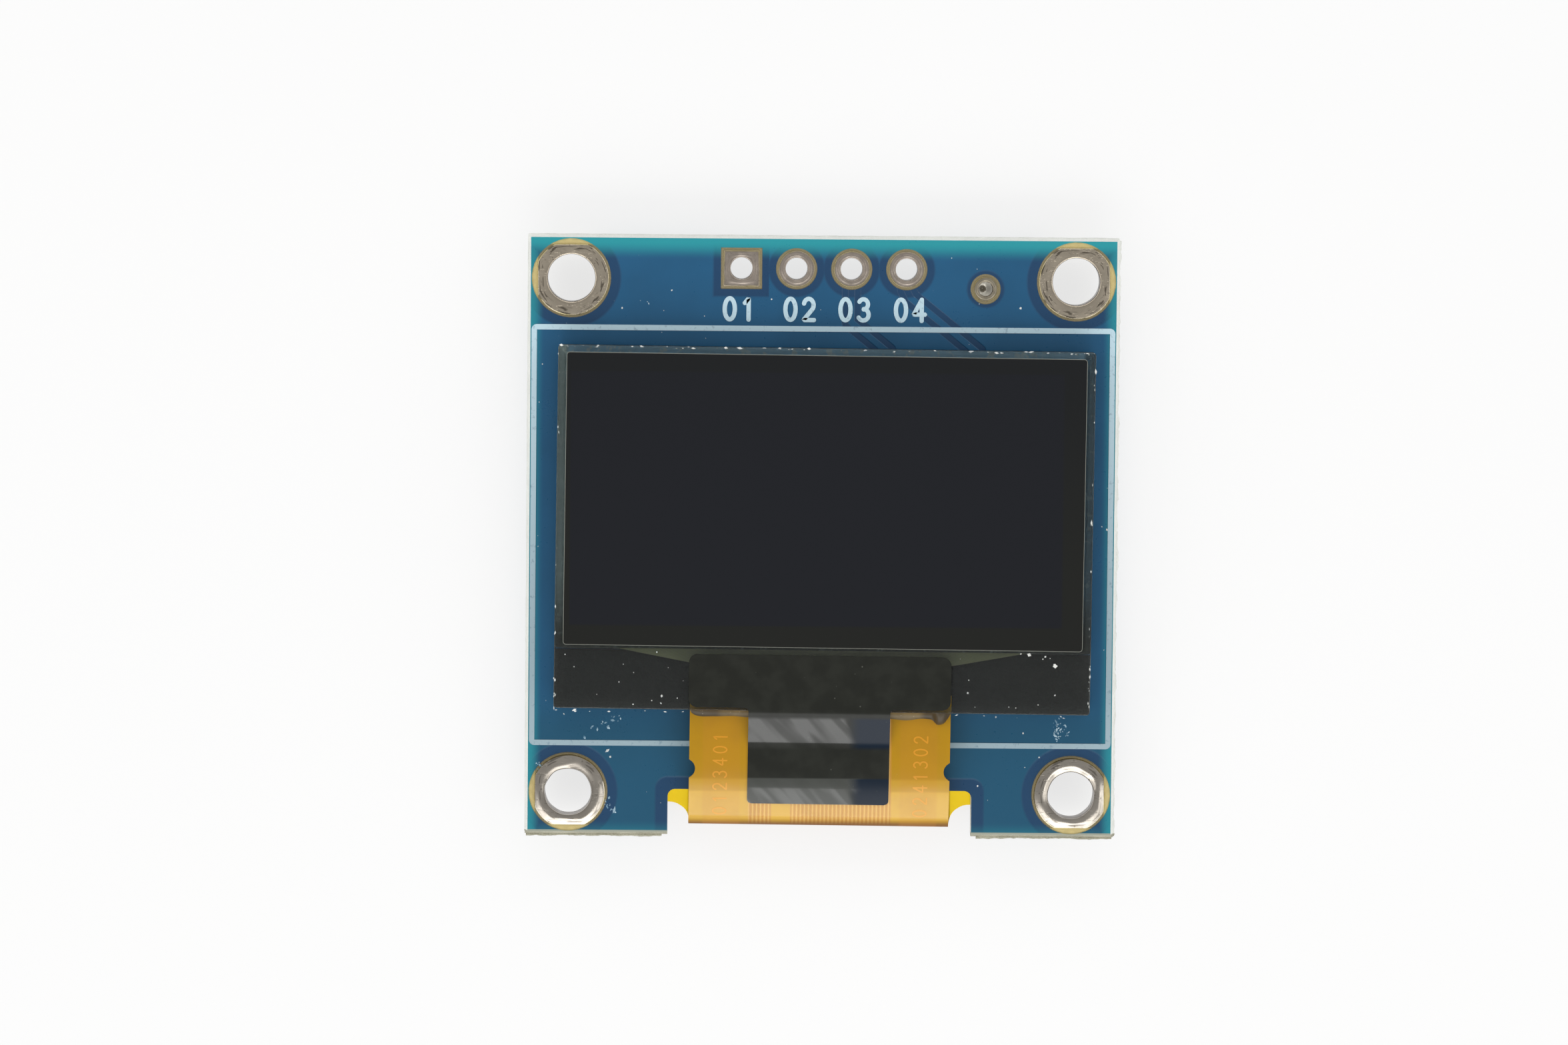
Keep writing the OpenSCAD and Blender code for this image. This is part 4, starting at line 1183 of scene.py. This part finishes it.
class DISPLAY_OT_fold_flex(bpy.types.Operator):
    """Lay the flex circuit from the glass, over the notch, round the fold and along the back"""
    bl_idname = "display_module.fold_flex"
    bl_label = "Flex circuit"

    def execute(self, context):
        path, normal, left, right = self.course(context.scene.display_sizes)
        (points, faces), film = carried_strip(path, normal, left, right, 0.0, -FLEX_THICK, 25)
        flex = named("flex", flex_finish, context.scene.display_colours)
        add_piece("folded_flex", [(self.settled(points), faces, 0)], [flex], ["flex_circuit"],
                  uv=film)
        front = np.flatnonzero(np.diff(path[:, 0]) < -1e-6)[::-1]
        tall, wide, pitch, first_y, pen = 0.62, 0.36, 0.58, -12.75, 0.07
        marks = []
        for centre, figures in ((-4.55, (0, 1, 2, 3, 4, 0, 1)), (4.72, (0, 2, 4, 1, 3, 0, 2))):
            for place, figure in enumerate(figures):
                for layer, line in enumerate(digit(figure)):
                    across, up = np.array(line).T
                    turned = np.column_stack([centre + (0.5 - up) * tall,
                                              across * wide + first_y + place * pitch])
                    stroke = pen_stroke(turned, pen, 0.0, 0.004 + 0.001 * layer)
                    marks.append((*self.on_front(stroke, path[front], normal[front]), 0))
        add_piece("flex_numbers", marks, [named("print", print_finish)])
        return {"FINISHED"}

    @classmethod
    def on_front(cls, shell, path, normal):
        """A flat shell laid on the front of the flex and settled with it: each point's height is
        measured along the outward normal from the face at the same y."""
        points, faces = shell
        y = points[:, 1]
        z, ny, nz = (np.interp(y, path[:, 0], v) for v in (path[:, 1], normal[:, 0], normal[:, 1]))
        lift = points[:, 2:] + 0.001
        raised = np.column_stack([points[:, :1], y[:, None] + ny[:, None] * lift,
                                  z[:, None] + nz[:, None] * lift])
        return cls.settled(raised), faces

    @staticmethod
    def settled(points):
        """The front follows the display's turn, which dies away down to the tail on the board's back."""
        return askew(points, np.clip(points[:, 2] / 2.0 + 0.5, 0, 1))

    @staticmethod
    def course(sizes):
        """The flex's outer face: flat off the glass, then arcs centre + r (-sin a, cos a). The gentle
        sweep turns from 0 to the sweep angle, the upper bend on to 90 degrees and the lower bend on to
        180, and the radii follow from where the face starts, turns and ends. Its sides are hollowed by
        MARK_R at the fold marks, and below the fold widen by quarter circles to the tail."""
        low, high = span("flex_circuit")
        start_z, fold_y, tail_z, tail_end = high[2], low[1], low[2], high[1]
        foot_y = span("front_glass")[0][1] - sizes.flat_run / MM
        fold_r, sweep = sizes.fold_radius / MM, sizes.sweep_angle
        bend_z = tail_z + fold_r
        run = foot_y - fold_y
        less = (run - start_z + bend_z) / (math.sin(sweep) + math.cos(sweep) - 1)
        upper_r = run - less * math.sin(sweep)
        sweep_r = upper_r + less
        flat_y = np.linspace(span("front_glass")[0][1] + 0.95, foot_y, FLAT_STATIONS)[:-1]
        flat = np.column_stack([flat_y, np.full_like(flat_y, start_z)])
        sweep_path, sweep_n = arc(foot_y, start_z - sweep_r, sweep_r, 0, sweep, SWEEP_STATIONS)
        upper, upper_n = arc(fold_y + upper_r, bend_z, upper_r, sweep, math.pi / 2, 20)
        lower, lower_n = arc(fold_y + fold_r, bend_z, fold_r, math.pi / 2, math.pi, 34)
        tail_y = np.unique(np.concatenate([
            np.linspace(fold_y + fold_r, tail_end, 60)[1:], np.linspace(-12.6, SHOULDER_Y - 0.001, 12),
            [SHOULDER_Y, SHOULDER_Y + 0.02], np.linspace(WIDE_Y - SHOULDER_R, WIDE_Y - 0.001, 18),
            [WIDE_Y, WIDE_Y + 0.02]]))
        tail_y = tail_y[np.diff(tail_y, prepend=-99) > 0.0005]
        tail = np.column_stack([tail_y, np.full_like(tail_y, tail_z)])
        path = np.concatenate([flat, sweep_path, upper[1:], lower[1:], tail])
        normal = np.concatenate([np.tile([0.0, 1.0], (len(flat), 1)), sweep_n, upper_n[1:], lower_n[1:],
                                 np.tile([0.0, -1.0], (len(tail), 1))])
        y = path[:, 0]
        below = np.arange(len(path)) >= len(flat) + len(sweep_path) + len(upper) - 1
        mark = np.maximum(np.sqrt(np.maximum(MARK_R ** 2 - (y - MARK_Y) ** 2, 0)) - (MARK_R - MARK_DEPTH), 0)
        half = STRAP_X - mark * ~below
        middle, wide = 0.05, high[0] - 0.05

        def hollow(edge):
            share = np.clip(y - (edge - SHOULDER_R), 0, SHOULDER_R)
            return SHOULDER_R - np.sqrt(SHOULDER_R ** 2 - share ** 2)
        half = np.where(below, STRAP_X + hollow(SHOULDER_Y), half)
        half = np.where(below & (y > SHOULDER_Y + 0.01), SHOULDER_X + hollow(WIDE_Y), half)
        half = np.where(below & (y > WIDE_Y + 0.01), wide, half)
        return path, normal, middle - half, middle + half


class DISPLAY_OT_bead_resin(bpy.types.Operator):
    """Run the resin bead along the glass's edge, with its drop at the right end"""
    bl_idname = "display_module.bead_resin"
    bl_label = "Resin bead"

    def execute(self, context):
        shell = self.bead(*span("resin_bead"), context.scene.display_sizes.drop_size / MM)
        resin = named("resin", resin_finish, context.scene.display_colours)
        add_piece("glass_edge_resin", [glued(shell)], [resin], ["resin_bead"], sharp=50)
        return {"FINISHED"}

    @staticmethod
    def bead(low, high, drop):
        """A fillet carried along the glass: at angle v its face is the hollow quarter circle
        (r - r sin v, h - h cos v) off the corner, mixed with the full one (r cos v, h sin v) where the
        drop is. Its reach r and height h waver along the glass."""
        x = np.linspace(low[0], high[0], 150)[:, None]
        wall, foot = high[1] + GROUND_BACK + 0.002, low[2]
        radius = high[2] - low[2]
        share = np.exp(-((x - 5.62) / 0.3) ** 4)
        r = (0.36 + 0.05 * ripple(x, 0.8, 7)) * (1 - share) + drop * share
        rise = radius * (0.86 + 0.13 * ripple(x, 1.1, 8)) * (1 - share) + (radius + 0.06) * share
        v = np.linspace(0, np.pi / 2, 12)[None, :]
        hollow_y, hollow_z = r * (1 - np.sin(v)), rise * (1 - np.cos(v))
        full_y, full_z = r * np.cos(v), rise * np.sin(v)
        out = hollow_y * (1 - share) + full_y * share
        up = hollow_z * (1 - share) + full_z * share
        off_middle = abs(x - (low[0] + high[0]) / 2) / ((high[0] - low[0]) / 2)
        end = np.sqrt(np.clip(1 - off_middle ** 24, 0.02, 1))
        y = np.concatenate([wall - out * end, np.full_like(x, wall)], 1)
        z = np.concatenate([foot + up * end, np.full_like(x, foot)], 1)
        return tube(np.stack([np.repeat(x, y.shape[1], 1), y, z], -1))


class DISPLAY_OT_stick_tape(bpy.types.Operator):
    """Stick the light-shield tape over the chip, down off the glass and along the flex"""
    bl_idname = "display_module.stick_tape"
    bl_label = "Light-shield tape"

    def execute(self, context):
        path, normal, half = self.course(context.scene.display_sizes)
        shell, film = carried_strip(path, normal, -half, half, 0.05, 0.004, 21)
        tape = named("tape", tape_finish, context.scene.display_colours)
        add_piece("shield_tape", [glued(shell)], [tape], ["light_shield_tape"], uv=film)
        return {"FINISHED"}

    @staticmethod
    def course(sizes):
        """The tape's underside: flat on the glass, rounded over its edge, straight down to the flex and
        along the flex's sweep. Both corners are bows (1 - t)^2 a + 2 t (1 - t) b + t^2 c. Its half
        width is the bar's, drawn in by the corner radius, then the stem's."""
        low, high = span("light_shield_tape")
        face_z = span("front_glass")[1][2]
        glass_y = span("front_glass")[0][1] + GROUND_BACK
        foot_y = glass_y - GROUND_BACK - sizes.flat_run / MM - FOOT_RUN
        flex, flex_n = DISPLAY_OT_fold_flex.course(sizes)[:2]
        sweep = flex[FLAT_STATIONS:]
        sweep = sweep[sweep[:, 0] >= low[1] - 1e-6][:SWEEP_STATIONS]
        sweep = sweep[(sweep[:, 0] < foot_y - 0.3) & (sweep[:, 1] > 1.0)]
        t = np.linspace(0, 1, 12)[:, None]

        def bow(a, b, c):
            return (1 - t) ** 2 * np.array(a) + 2 * t * (1 - t) * np.array(b) + t ** 2 * np.array(c)
        edge = np.array([glass_y - 0.03, face_z])
        front = flex[flex_n[:, 1] > 0.5]
        foot_z, under_z = np.interp([-foot_y, 0.28 - foot_y], -front[:, 0], front[:, 1])
        foot = np.array([foot_y, foot_z])
        slope = (foot - edge) / np.linalg.norm(foot - edge)
        over = bow(edge + [0.15, 0], edge, edge + slope * 0.15)
        under = bow(foot - slope * 0.25, foot, [foot_y - 0.28, under_z])
        bar, bend = high[1] - BAR_DEPTH, np.linspace(0, np.pi / 2, 9)
        flat_y = np.concatenate([high[1] - BAR_CORNER * (1 - np.cos(bend)),
                                 np.linspace(high[1] - 0.5, low[1] + 5.0, 8),
                                 bar + BAR_CORNER * (1 - np.sin(bend)), [bar - 0.004]])
        flat_y = flat_y[flat_y > edge[0] + 0.155]
        flat = np.column_stack([flat_y[np.argsort(-flat_y)], np.full(len(flat_y), face_z)])
        path = np.concatenate([flat, over, under, sweep])
        y = path[:, 0]

        def turned(d, radius):
            d = np.clip(d, 0, radius)
            return radius - np.sqrt(np.maximum(radius ** 2 - (radius - d) ** 2, 0))
        wide = high[0] - turned(high[1] - y, BAR_CORNER) - turned(y - bar, BAR_CORNER)
        narrow = STEM_X + turned(bar - y, STEM_CORNER) - turned(y - y[-1], STEM_CORNER)
        return path, normals(path), np.where(y >= bar - 0.001, wide, narrow)


class DISPLAY_OT_solder_tail(bpy.types.Operator):
    """Tin the pads on the back and solder the end of the flex's tail to them"""
    bl_idname = "display_module.solder_tail"
    bl_label = "Tail joints"

    def execute(self, context):
        look = context.scene.display_colours
        dress(tinned("tin_pads", look), "back_pads")
        low, high = span("tail_joints")
        u = np.linspace(0, 1, 12)
        end = span("flex_circuit")[1][1]
        rng = np.random.default_rng(5)
        shells = []
        for number in range(JOINTS):
            x = (number - (JOINTS - 1) / 2) * JOINT_PITCH
            y = high[1] - (high[1] - low[1]) * u * rng.uniform(0.93, 1.0)
            base = np.where(y > end + 0.02, span("back_pads")[1][2] - 0.058, span("flex_circuit")[0][2])
            full = rng.uniform(0.85, 1.0)
            crest = np.sin(np.pi * np.clip(u, 0.04, 0.96) ** 0.8) ** 0.6
            rise = np.where(y > end + 0.02, 0.15, 0.075) * crest * full + 0.002
            width = JOINT_W / 2 * (0.7 + 0.3 * crest)
            shells.append((*half_round(high[1] - y, width, (x, high[1]), (0, -1), rise, base), 0))
        add_piece("tail_solder", shells, [tinned("solder", look)], ["tail_joints"], sharp=70)
        return {"FINISHED"}


class DISPLAY_OT_place_chip_parts(bpy.types.Operator):
    """Place the capacitors and resistors with their end caps and the solder at their ends"""
    bl_idname = "display_module.place_chip_parts"
    bl_label = "Chip parts"

    def execute(self, context):
        look = context.scene.display_colours
        caps, solder = tinned("tin_caps", look), tinned("solder", look)
        body = {"capacitor": named("capacitor", ceramic_finish, "capacitor", paint(150, 118, 84),
                                   paint(176, 144, 106), 0.45),
                "resistor": named("resistor", ceramic_finish, "resistor", paint(206, 206, 200),
                                  paint(232, 232, 226), 0.5)}
        coat = named("overcoat", ceramic_finish, "overcoat", paint(20, 20, 22), paint(36, 36, 38), 0.25)
        fillets = []
        for kind in ("capacitor", "resistor"):
            for number in range(1, 7):
                node = "%s_%d" % (kind, number)
                low, high = span(node)
                add_piece(node + "_chip", self.chip(low, high, kind == "resistor"),
                          [body[kind], caps] + ([coat] if kind == "resistor" else []), [node])
                fillets += self.fillets(low, high, number + (kind == "resistor") * 10)
        add_piece("chip_solder", fillets, [solder], ["part_solder"], sharp=70)
        return {"FINISHED"}

    @staticmethod
    def chip(low, high, coated):
        """A rounded block between two caps that stand a little proud, along the longer side."""
        axis = int(high[1] - low[1] > high[0] - low[0])
        step = np.zeros(3)
        step[axis] = 1.0
        proud = np.array([0.02, 0.02, 0.02]) * (1 - step)
        shells = [(*rounded_block(low + proud + 0.02 * step, high - proud - 0.02 * step, 0.03, 0.05), 0)]
        for side in (0, 1):
            cap_low, cap_high = low.copy(), high.copy()
            if side:
                cap_low[axis] = high[axis] - 0.3
            else:
                cap_high[axis] = low[axis] + 0.3
            shells.append((*rounded_block(cap_low, cap_high, 0.06, 0.08), 1))
        if coated:
            coat_low, coat_high = low + proud + 0.33 * step, high - proud - 0.33 * step
            coat_high[2] = coat_low[2] + 0.05
            coat_low[2] -= 0.008
            coat_low[1 - axis] += 0.04
            coat_high[1 - axis] -= 0.04
            shells.append((*rounded_block(coat_low, coat_high, 0.012, 0.03), 2))
        return shells

    @staticmethod
    def fillets(low, high, seed):
        """Solder that climbs each end: its height falls away from the part as (1 - u)^2."""
        axis = int(high[1] - low[1] > high[0] - low[0])
        rng = np.random.default_rng(seed)
        u = np.linspace(0, 1, 9)
        middle = (low + high) / 2
        shells = []
        for side in (-1, 1):
            start = middle[:2].copy()
            start[axis] = (high if side > 0 else low)[axis] - side * 0.02
            direction = np.zeros(2)
            direction[axis] = side
            rise = min(0.4, high[2] - low[2] - 0.05) * rng.uniform(0.8, 1.0) * (1 - u) ** 2 + 0.012
            shape = np.array(u * 0.4)
            width = 0.39 * np.sqrt(np.clip(1 - (u * 0.92) ** 6, 0, 1))
            shells.append((*half_round(shape, width, start, direction, rise, np.full_like(u, high[2])), 0))
        return shells


class DISPLAY_OT_place_regulator(bpy.types.Operator):
    """Place the regulator's moulded package and its gull-wing leads"""
    bl_idname = "display_module.place_regulator"
    bl_label = "Regulator"

    def execute(self, context):
        low, high = span("regulator_body")
        add_piece("regulator_package", [(*rounded_block(low, high, 0.05, 0.08, taper=0.07, steps=2), 0)],
                  [named("moulding", moulding_finish)], ["regulator_body"])
        pad_z = span("regulator_leads")[1][2]
        middle = (low + high) / 2
        leads = []
        for offset, side in ((-0.95, 1), (0.95, 1), (0, -1)):
            path, normal = self.lead(pad_z, side, middle[1], (high[1] - low[1]) / 2)
            half = np.full(len(path), 0.2)
            x = middle[0] + offset
            leads.append((*carried_strip(path, normal, x - half, x + half, 0.06, -0.06, 4)[0], 0))
        caps = tinned("tin_caps", context.scene.display_colours)
        add_piece("regulator_pins", leads, [caps], ["regulator_leads"])
        return {"FINISHED"}

    @staticmethod
    def lead(pad_z, side, middle_y, half_depth):
        """The middle line of a lead in the plane of its side: out of the package at mid height, down by
        a smooth step z = a + (b - a) (3 s^2 - 2 s^3), and flat on its pad."""
        s = np.linspace(0, 1, 14)
        reach = np.concatenate([[-0.02, 0.1], 0.18 + 0.2 * s, [0.48, 0.58]])
        drop = 3 * s ** 2 - 2 * s ** 3
        out_z, foot_z = pad_z - 0.54, pad_z - 0.062
        z = np.concatenate([[out_z, out_z], out_z + (foot_z - out_z) * drop, [foot_z, foot_z]])
        path = np.column_stack([middle_y + side * (half_depth + reach), z])
        return path, normals(path)


class DISPLAY_OT_scatter_dust(bpy.types.Operator):
    """Scatter specks of dust, the chips along the glass's edges and the scuffs on the board"""
    bl_idname = "display_module.scatter_dust"
    bl_label = "Dust, chips and scuffs"

    def execute(self, context):
        speck = named("speck", cloudy_finish, "speck", 0.6, 1.7, 0.3, 0.7, paint(196, 200, 200),
                      paint(238, 238, 232), 10)
        scuff = named("scuff", cloudy_finish, "scuff", 0.5, 2.2, 0.35, 0.65, paint(96, 136, 160),
                      paint(176, 200, 212), 8)
        rng = np.random.default_rng(12)
        glass_low, glass_high = span("front_glass")
        film_low = span("polariser")[0]
        mask_z = span("front_solder_mask")[1][2]
        count = context.scene.display_sizes.dust_count
        ledge = np.column_stack([rng.uniform(glass_low[0] + 0.4, glass_high[0] - 0.4, count // 3),
                                 rng.uniform(glass_low[1] + 0.2, film_low[1] - 0.1, count // 3),
                                 np.full(count // 3, glass_high[2] + 0.004)])
        ledge = ledge[abs(ledge[:, 0]) > 6.2]
        board = np.column_stack([rng.uniform(-13.3, 13.3, count), rng.uniform(-13.4, 13.4, count),
                                 np.full(count, mask_z + 0.003)])
        inside = (board[:, :2] > glass_low[:2] - 0.1).all(1) & (board[:, :2] < glass_high[:2] + 0.1).all(1)
        near = np.hypot(abs(board[:, 0]) - HOLE_X, abs(board[:, 1]) - HOLE_Y) < 1.9
        flex = (abs(board[:, 0]) < 7.2) & (board[:, 1] < -8)
        header = (abs(board[:, 0]) < 5.2) & (board[:, 1] > 11)
        board = board[~(inside | near | flex | header)]
        sizes = [chance_sizes(rng, 0.035, 0.5, len(p)) * [1, 0.8, 0.3] for p in (ledge, board)]
        add_piece("dust_specks", [(*flakes(np.concatenate([ledge, board]), np.concatenate(sizes), 3), 0)],
                  [speck])
        add_piece("glass_chips", [(*self.chips(glass_low, glass_high, rng), 0)], [speck])
        add_piece("board_scuffs", [(*self.scuffs(mask_z, rng), 0)], [scuff])
        return {"FINISHED"}

    @staticmethod
    def chips(low, high, rng):
        """Chips along the front edges of the glass, most of them on the top edge and at the corners."""
        n = 110
        edge = rng.choice(4, n, p=[0.46, 0.18, 0.18, 0.18])
        s = rng.beta(0.8, 0.8, n)
        x = np.select([edge == 0, edge == 1, edge == 2, edge == 3],
                      [low[0] + s * (high[0] - low[0]), np.full(n, low[0]), np.full(n, high[0]),
                       low[0] + s * (high[0] - low[0])])
        y = np.select([edge == 0, edge == 3], [np.full(n, high[1]), np.full(n, low[1])],
                      low[1] + s * (high[1] - low[1]))
        inward = np.column_stack([np.sign(-x) * (edge % 3 > 0),
                                  np.select([edge == 0, edge == 3], [-1, 1], 0)])
        keep = ~((edge == 3) & (abs(x) < 6.2))
        depth = rng.uniform(0.0, 0.09, (n, 1))
        centre = np.column_stack([np.column_stack([x, y]) + inward * depth, np.full(n, high[2] - 0.004)])
        centre = centre[keep]
        size = np.minimum(chance_sizes(rng, 0.028, 0.45, keep.sum()), 0.06) * [2.2, 0.8, 0.25]
        turn = (edge[keep] % 3 > 0) * np.pi / 2 + rng.normal(0, 0.15, keep.sum())
        return flakes(askew(centre), size, 4, turn)

    @staticmethod
    def scuffs(z, rng):
        """Scuffed spots on the mask: flakes gathered about short slanting lines."""
        lines = [((11.0, -8.4), (11.0, -9.5), 34, 0.1), ((11.35, -8.5), (11.4, -9.2), 10, 0.08),
                 ((-10.0, -12.2), (-9.45, -12.9), 24, 0.11), ((-13.3, -10.4), (-12.9, -10.8), 8, 0.08),
                 ((-10.9, -9.3), (-9.2, -8.3), 20, 0.1),
                 ((-8.5, 11.0), (-8.2, 10.7), 4, 0.1)]
        places, sizes = [], []
        for a, b, n, spread in lines:
            s = rng.uniform(0, 1, (n, 1))
            spot = np.array(a) + s * (np.array(b) - a) + rng.normal(0, spread, (n, 2))
            places.append(np.column_stack([spot, np.full(n, z + 0.002)]))
            sizes.append(chance_sizes(rng, 0.029, 0.5, n) * [0.8, 1.6, 0.25])
        return flakes(np.concatenate(places), np.concatenate(sizes), 6)


class DISPLAY_OT_set_stage(bpy.types.Operator):
    """Set the white floor, the soft boxes and the camera"""
    bl_idname = "display_module.set_stage"
    bl_label = "Floor, lights and camera"

    def execute(self, context):
        scene = context.scene
        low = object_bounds()[0][2] / MM
        r = np.concatenate([np.linspace(0.5, 900, 24), 900 + 300 * np.sin(np.linspace(0, np.pi / 2, 12))[1:]])
        z = np.concatenate([np.zeros(24), 300 * (1 - np.cos(np.linspace(0, np.pi / 2, 12)))[1:]])
        t = np.linspace(0, 2 * np.pi, 96, endpoint=False)
        rings = np.stack([r[:, None] * np.cos(t), r[:, None] * np.sin(t),
                          np.repeat(z[:, None] + low, 96, 1)], -1)
        n, m = rings.shape[:2]
        i, j = np.mgrid[0:n - 1, 0:m]
        faces = np.stack([i * m + j, (i + 1) * m + j, (i + 1) * m + (j + 1) % m, i * m + (j + 1) % m], -1)
        mesh = bpy.data.meshes.new("floor")
        faces = faces.reshape(-1, 4).tolist() + [list(range(m))]
        mesh.from_pydata((rings.reshape(-1, 3) * MM).tolist(), [], faces)
        mesh.materials.append(named("floor", floor_finish))
        mesh.shade_smooth()
        floor = bpy.data.objects.new("floor", mesh)
        scene.collection.objects.link(floor)
        floor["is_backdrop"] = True
        world = bpy.data.worlds.new("dim_room")
        world.use_nodes = True
        world.node_tree.nodes["Background"].inputs["Color"].default_value = (0.3, 0.3, 0.3, 1)
        scene.world = world
        for name, azimuth, slope, width, height, radiance in (
                ("near_box", -90, 52, 0.64, 0.30, 2.5), ("far_box", 90, 55, 0.64, 0.26, 1.3),
                ("left_box", 180, 55, 0.64, 0.26, 1.3), ("right_box", 0, 55, 0.64, 0.26, 1.3)):
            self.box_light(scene, name, math.radians(azimuth), math.radians(slope), width, height, radiance,
                           0.45)
        self.box_light(scene, "under_box", 0.0, math.pi, 0.6, 0.6, 0.6, 0.3)
        camera = bpy.data.cameras.new("camera")
        camera.lens, camera.sensor_width = 171.14, 36.0
        camera.clip_start, camera.clip_end = 0.01, 10.0
        view = bpy.data.objects.new("camera", camera)
        view.location = (-0.006, 0.024, 0.345)
        view.rotation_euler = (-0.06788, -0.01176, 0.00878)
        scene.collection.objects.link(view)
        scene.camera = view
        scene.view_settings.view_transform = "Standard"
        return {"FINISHED"}

    @staticmethod
    def box_light(scene, name, azimuth, slope, width, height, radiance, distance):
        """A soft box aimed at the module from the given slope off the vertical. Its power is its
        radiance times pi times its area."""
        light = bpy.data.lights.new(name, "AREA")
        light.shape, light.size, light.size_y = "RECTANGLE", width, height
        light.energy = radiance * math.pi * width * height
        lamp = bpy.data.objects.new(name, light)
        out = np.array([math.cos(azimuth) * math.sin(slope), math.sin(azimuth) * math.sin(slope),
                        math.cos(slope)])
        lamp.location = (out * distance).tolist()
        lamp.rotation_euler = (slope, 0, azimuth + math.pi / 2)
        scene.collection.objects.link(lamp)


STEPS = (
    DISPLAY_OT_finish_board, DISPLAY_OT_coat_masks, DISPLAY_OT_print_ink, DISPLAY_OT_tin_mounting_rings,
    DISPLAY_OT_tin_header_rings, DISPLAY_OT_lay_foam, DISPLAY_OT_fit_display, DISPLAY_OT_fold_flex,
    DISPLAY_OT_bead_resin, DISPLAY_OT_stick_tape, DISPLAY_OT_solder_tail, DISPLAY_OT_place_chip_parts,
    DISPLAY_OT_place_regulator, DISPLAY_OT_scatter_dust, DISPLAY_OT_set_stage,
)


class DISPLAY_PT_module(bpy.types.Panel):
    """The module's sizes, colours and building steps"""
    bl_idname = "DISPLAY_PT_module"
    bl_label = "Display Module"
    bl_space_type = "VIEW_3D"
    bl_region_type = "UI"
    bl_category = "Display Module"

    def draw(self, context):
        for group in (context.scene.display_sizes, context.scene.display_colours):
            column = self.layout.column(align=True)
            for name in type(group).__annotations__:
                column.prop(group, name)
        column = self.layout.column(align=True)
        for step in STEPS:
            column.operator(step.bl_idname)


CLASSES = (DisplayModuleSizes, DisplayModuleColours, *STEPS, DISPLAY_PT_module)


def register():
    for cls in CLASSES:
        bpy.utils.register_class(cls)
    bpy.types.Scene.display_sizes = PointerProperty(type=DisplayModuleSizes)
    bpy.types.Scene.display_colours = PointerProperty(type=DisplayModuleColours)


def unregister():
    del bpy.types.Scene.display_colours
    del bpy.types.Scene.display_sizes
    for cls in reversed(CLASSES):
        bpy.utils.unregister_class(cls)


def main():
    register()
    for step in STEPS:
        group, name = step.bl_idname.split(".")
        getattr(getattr(bpy.ops, group), name)()


if __name__ == "__main__":
    main()
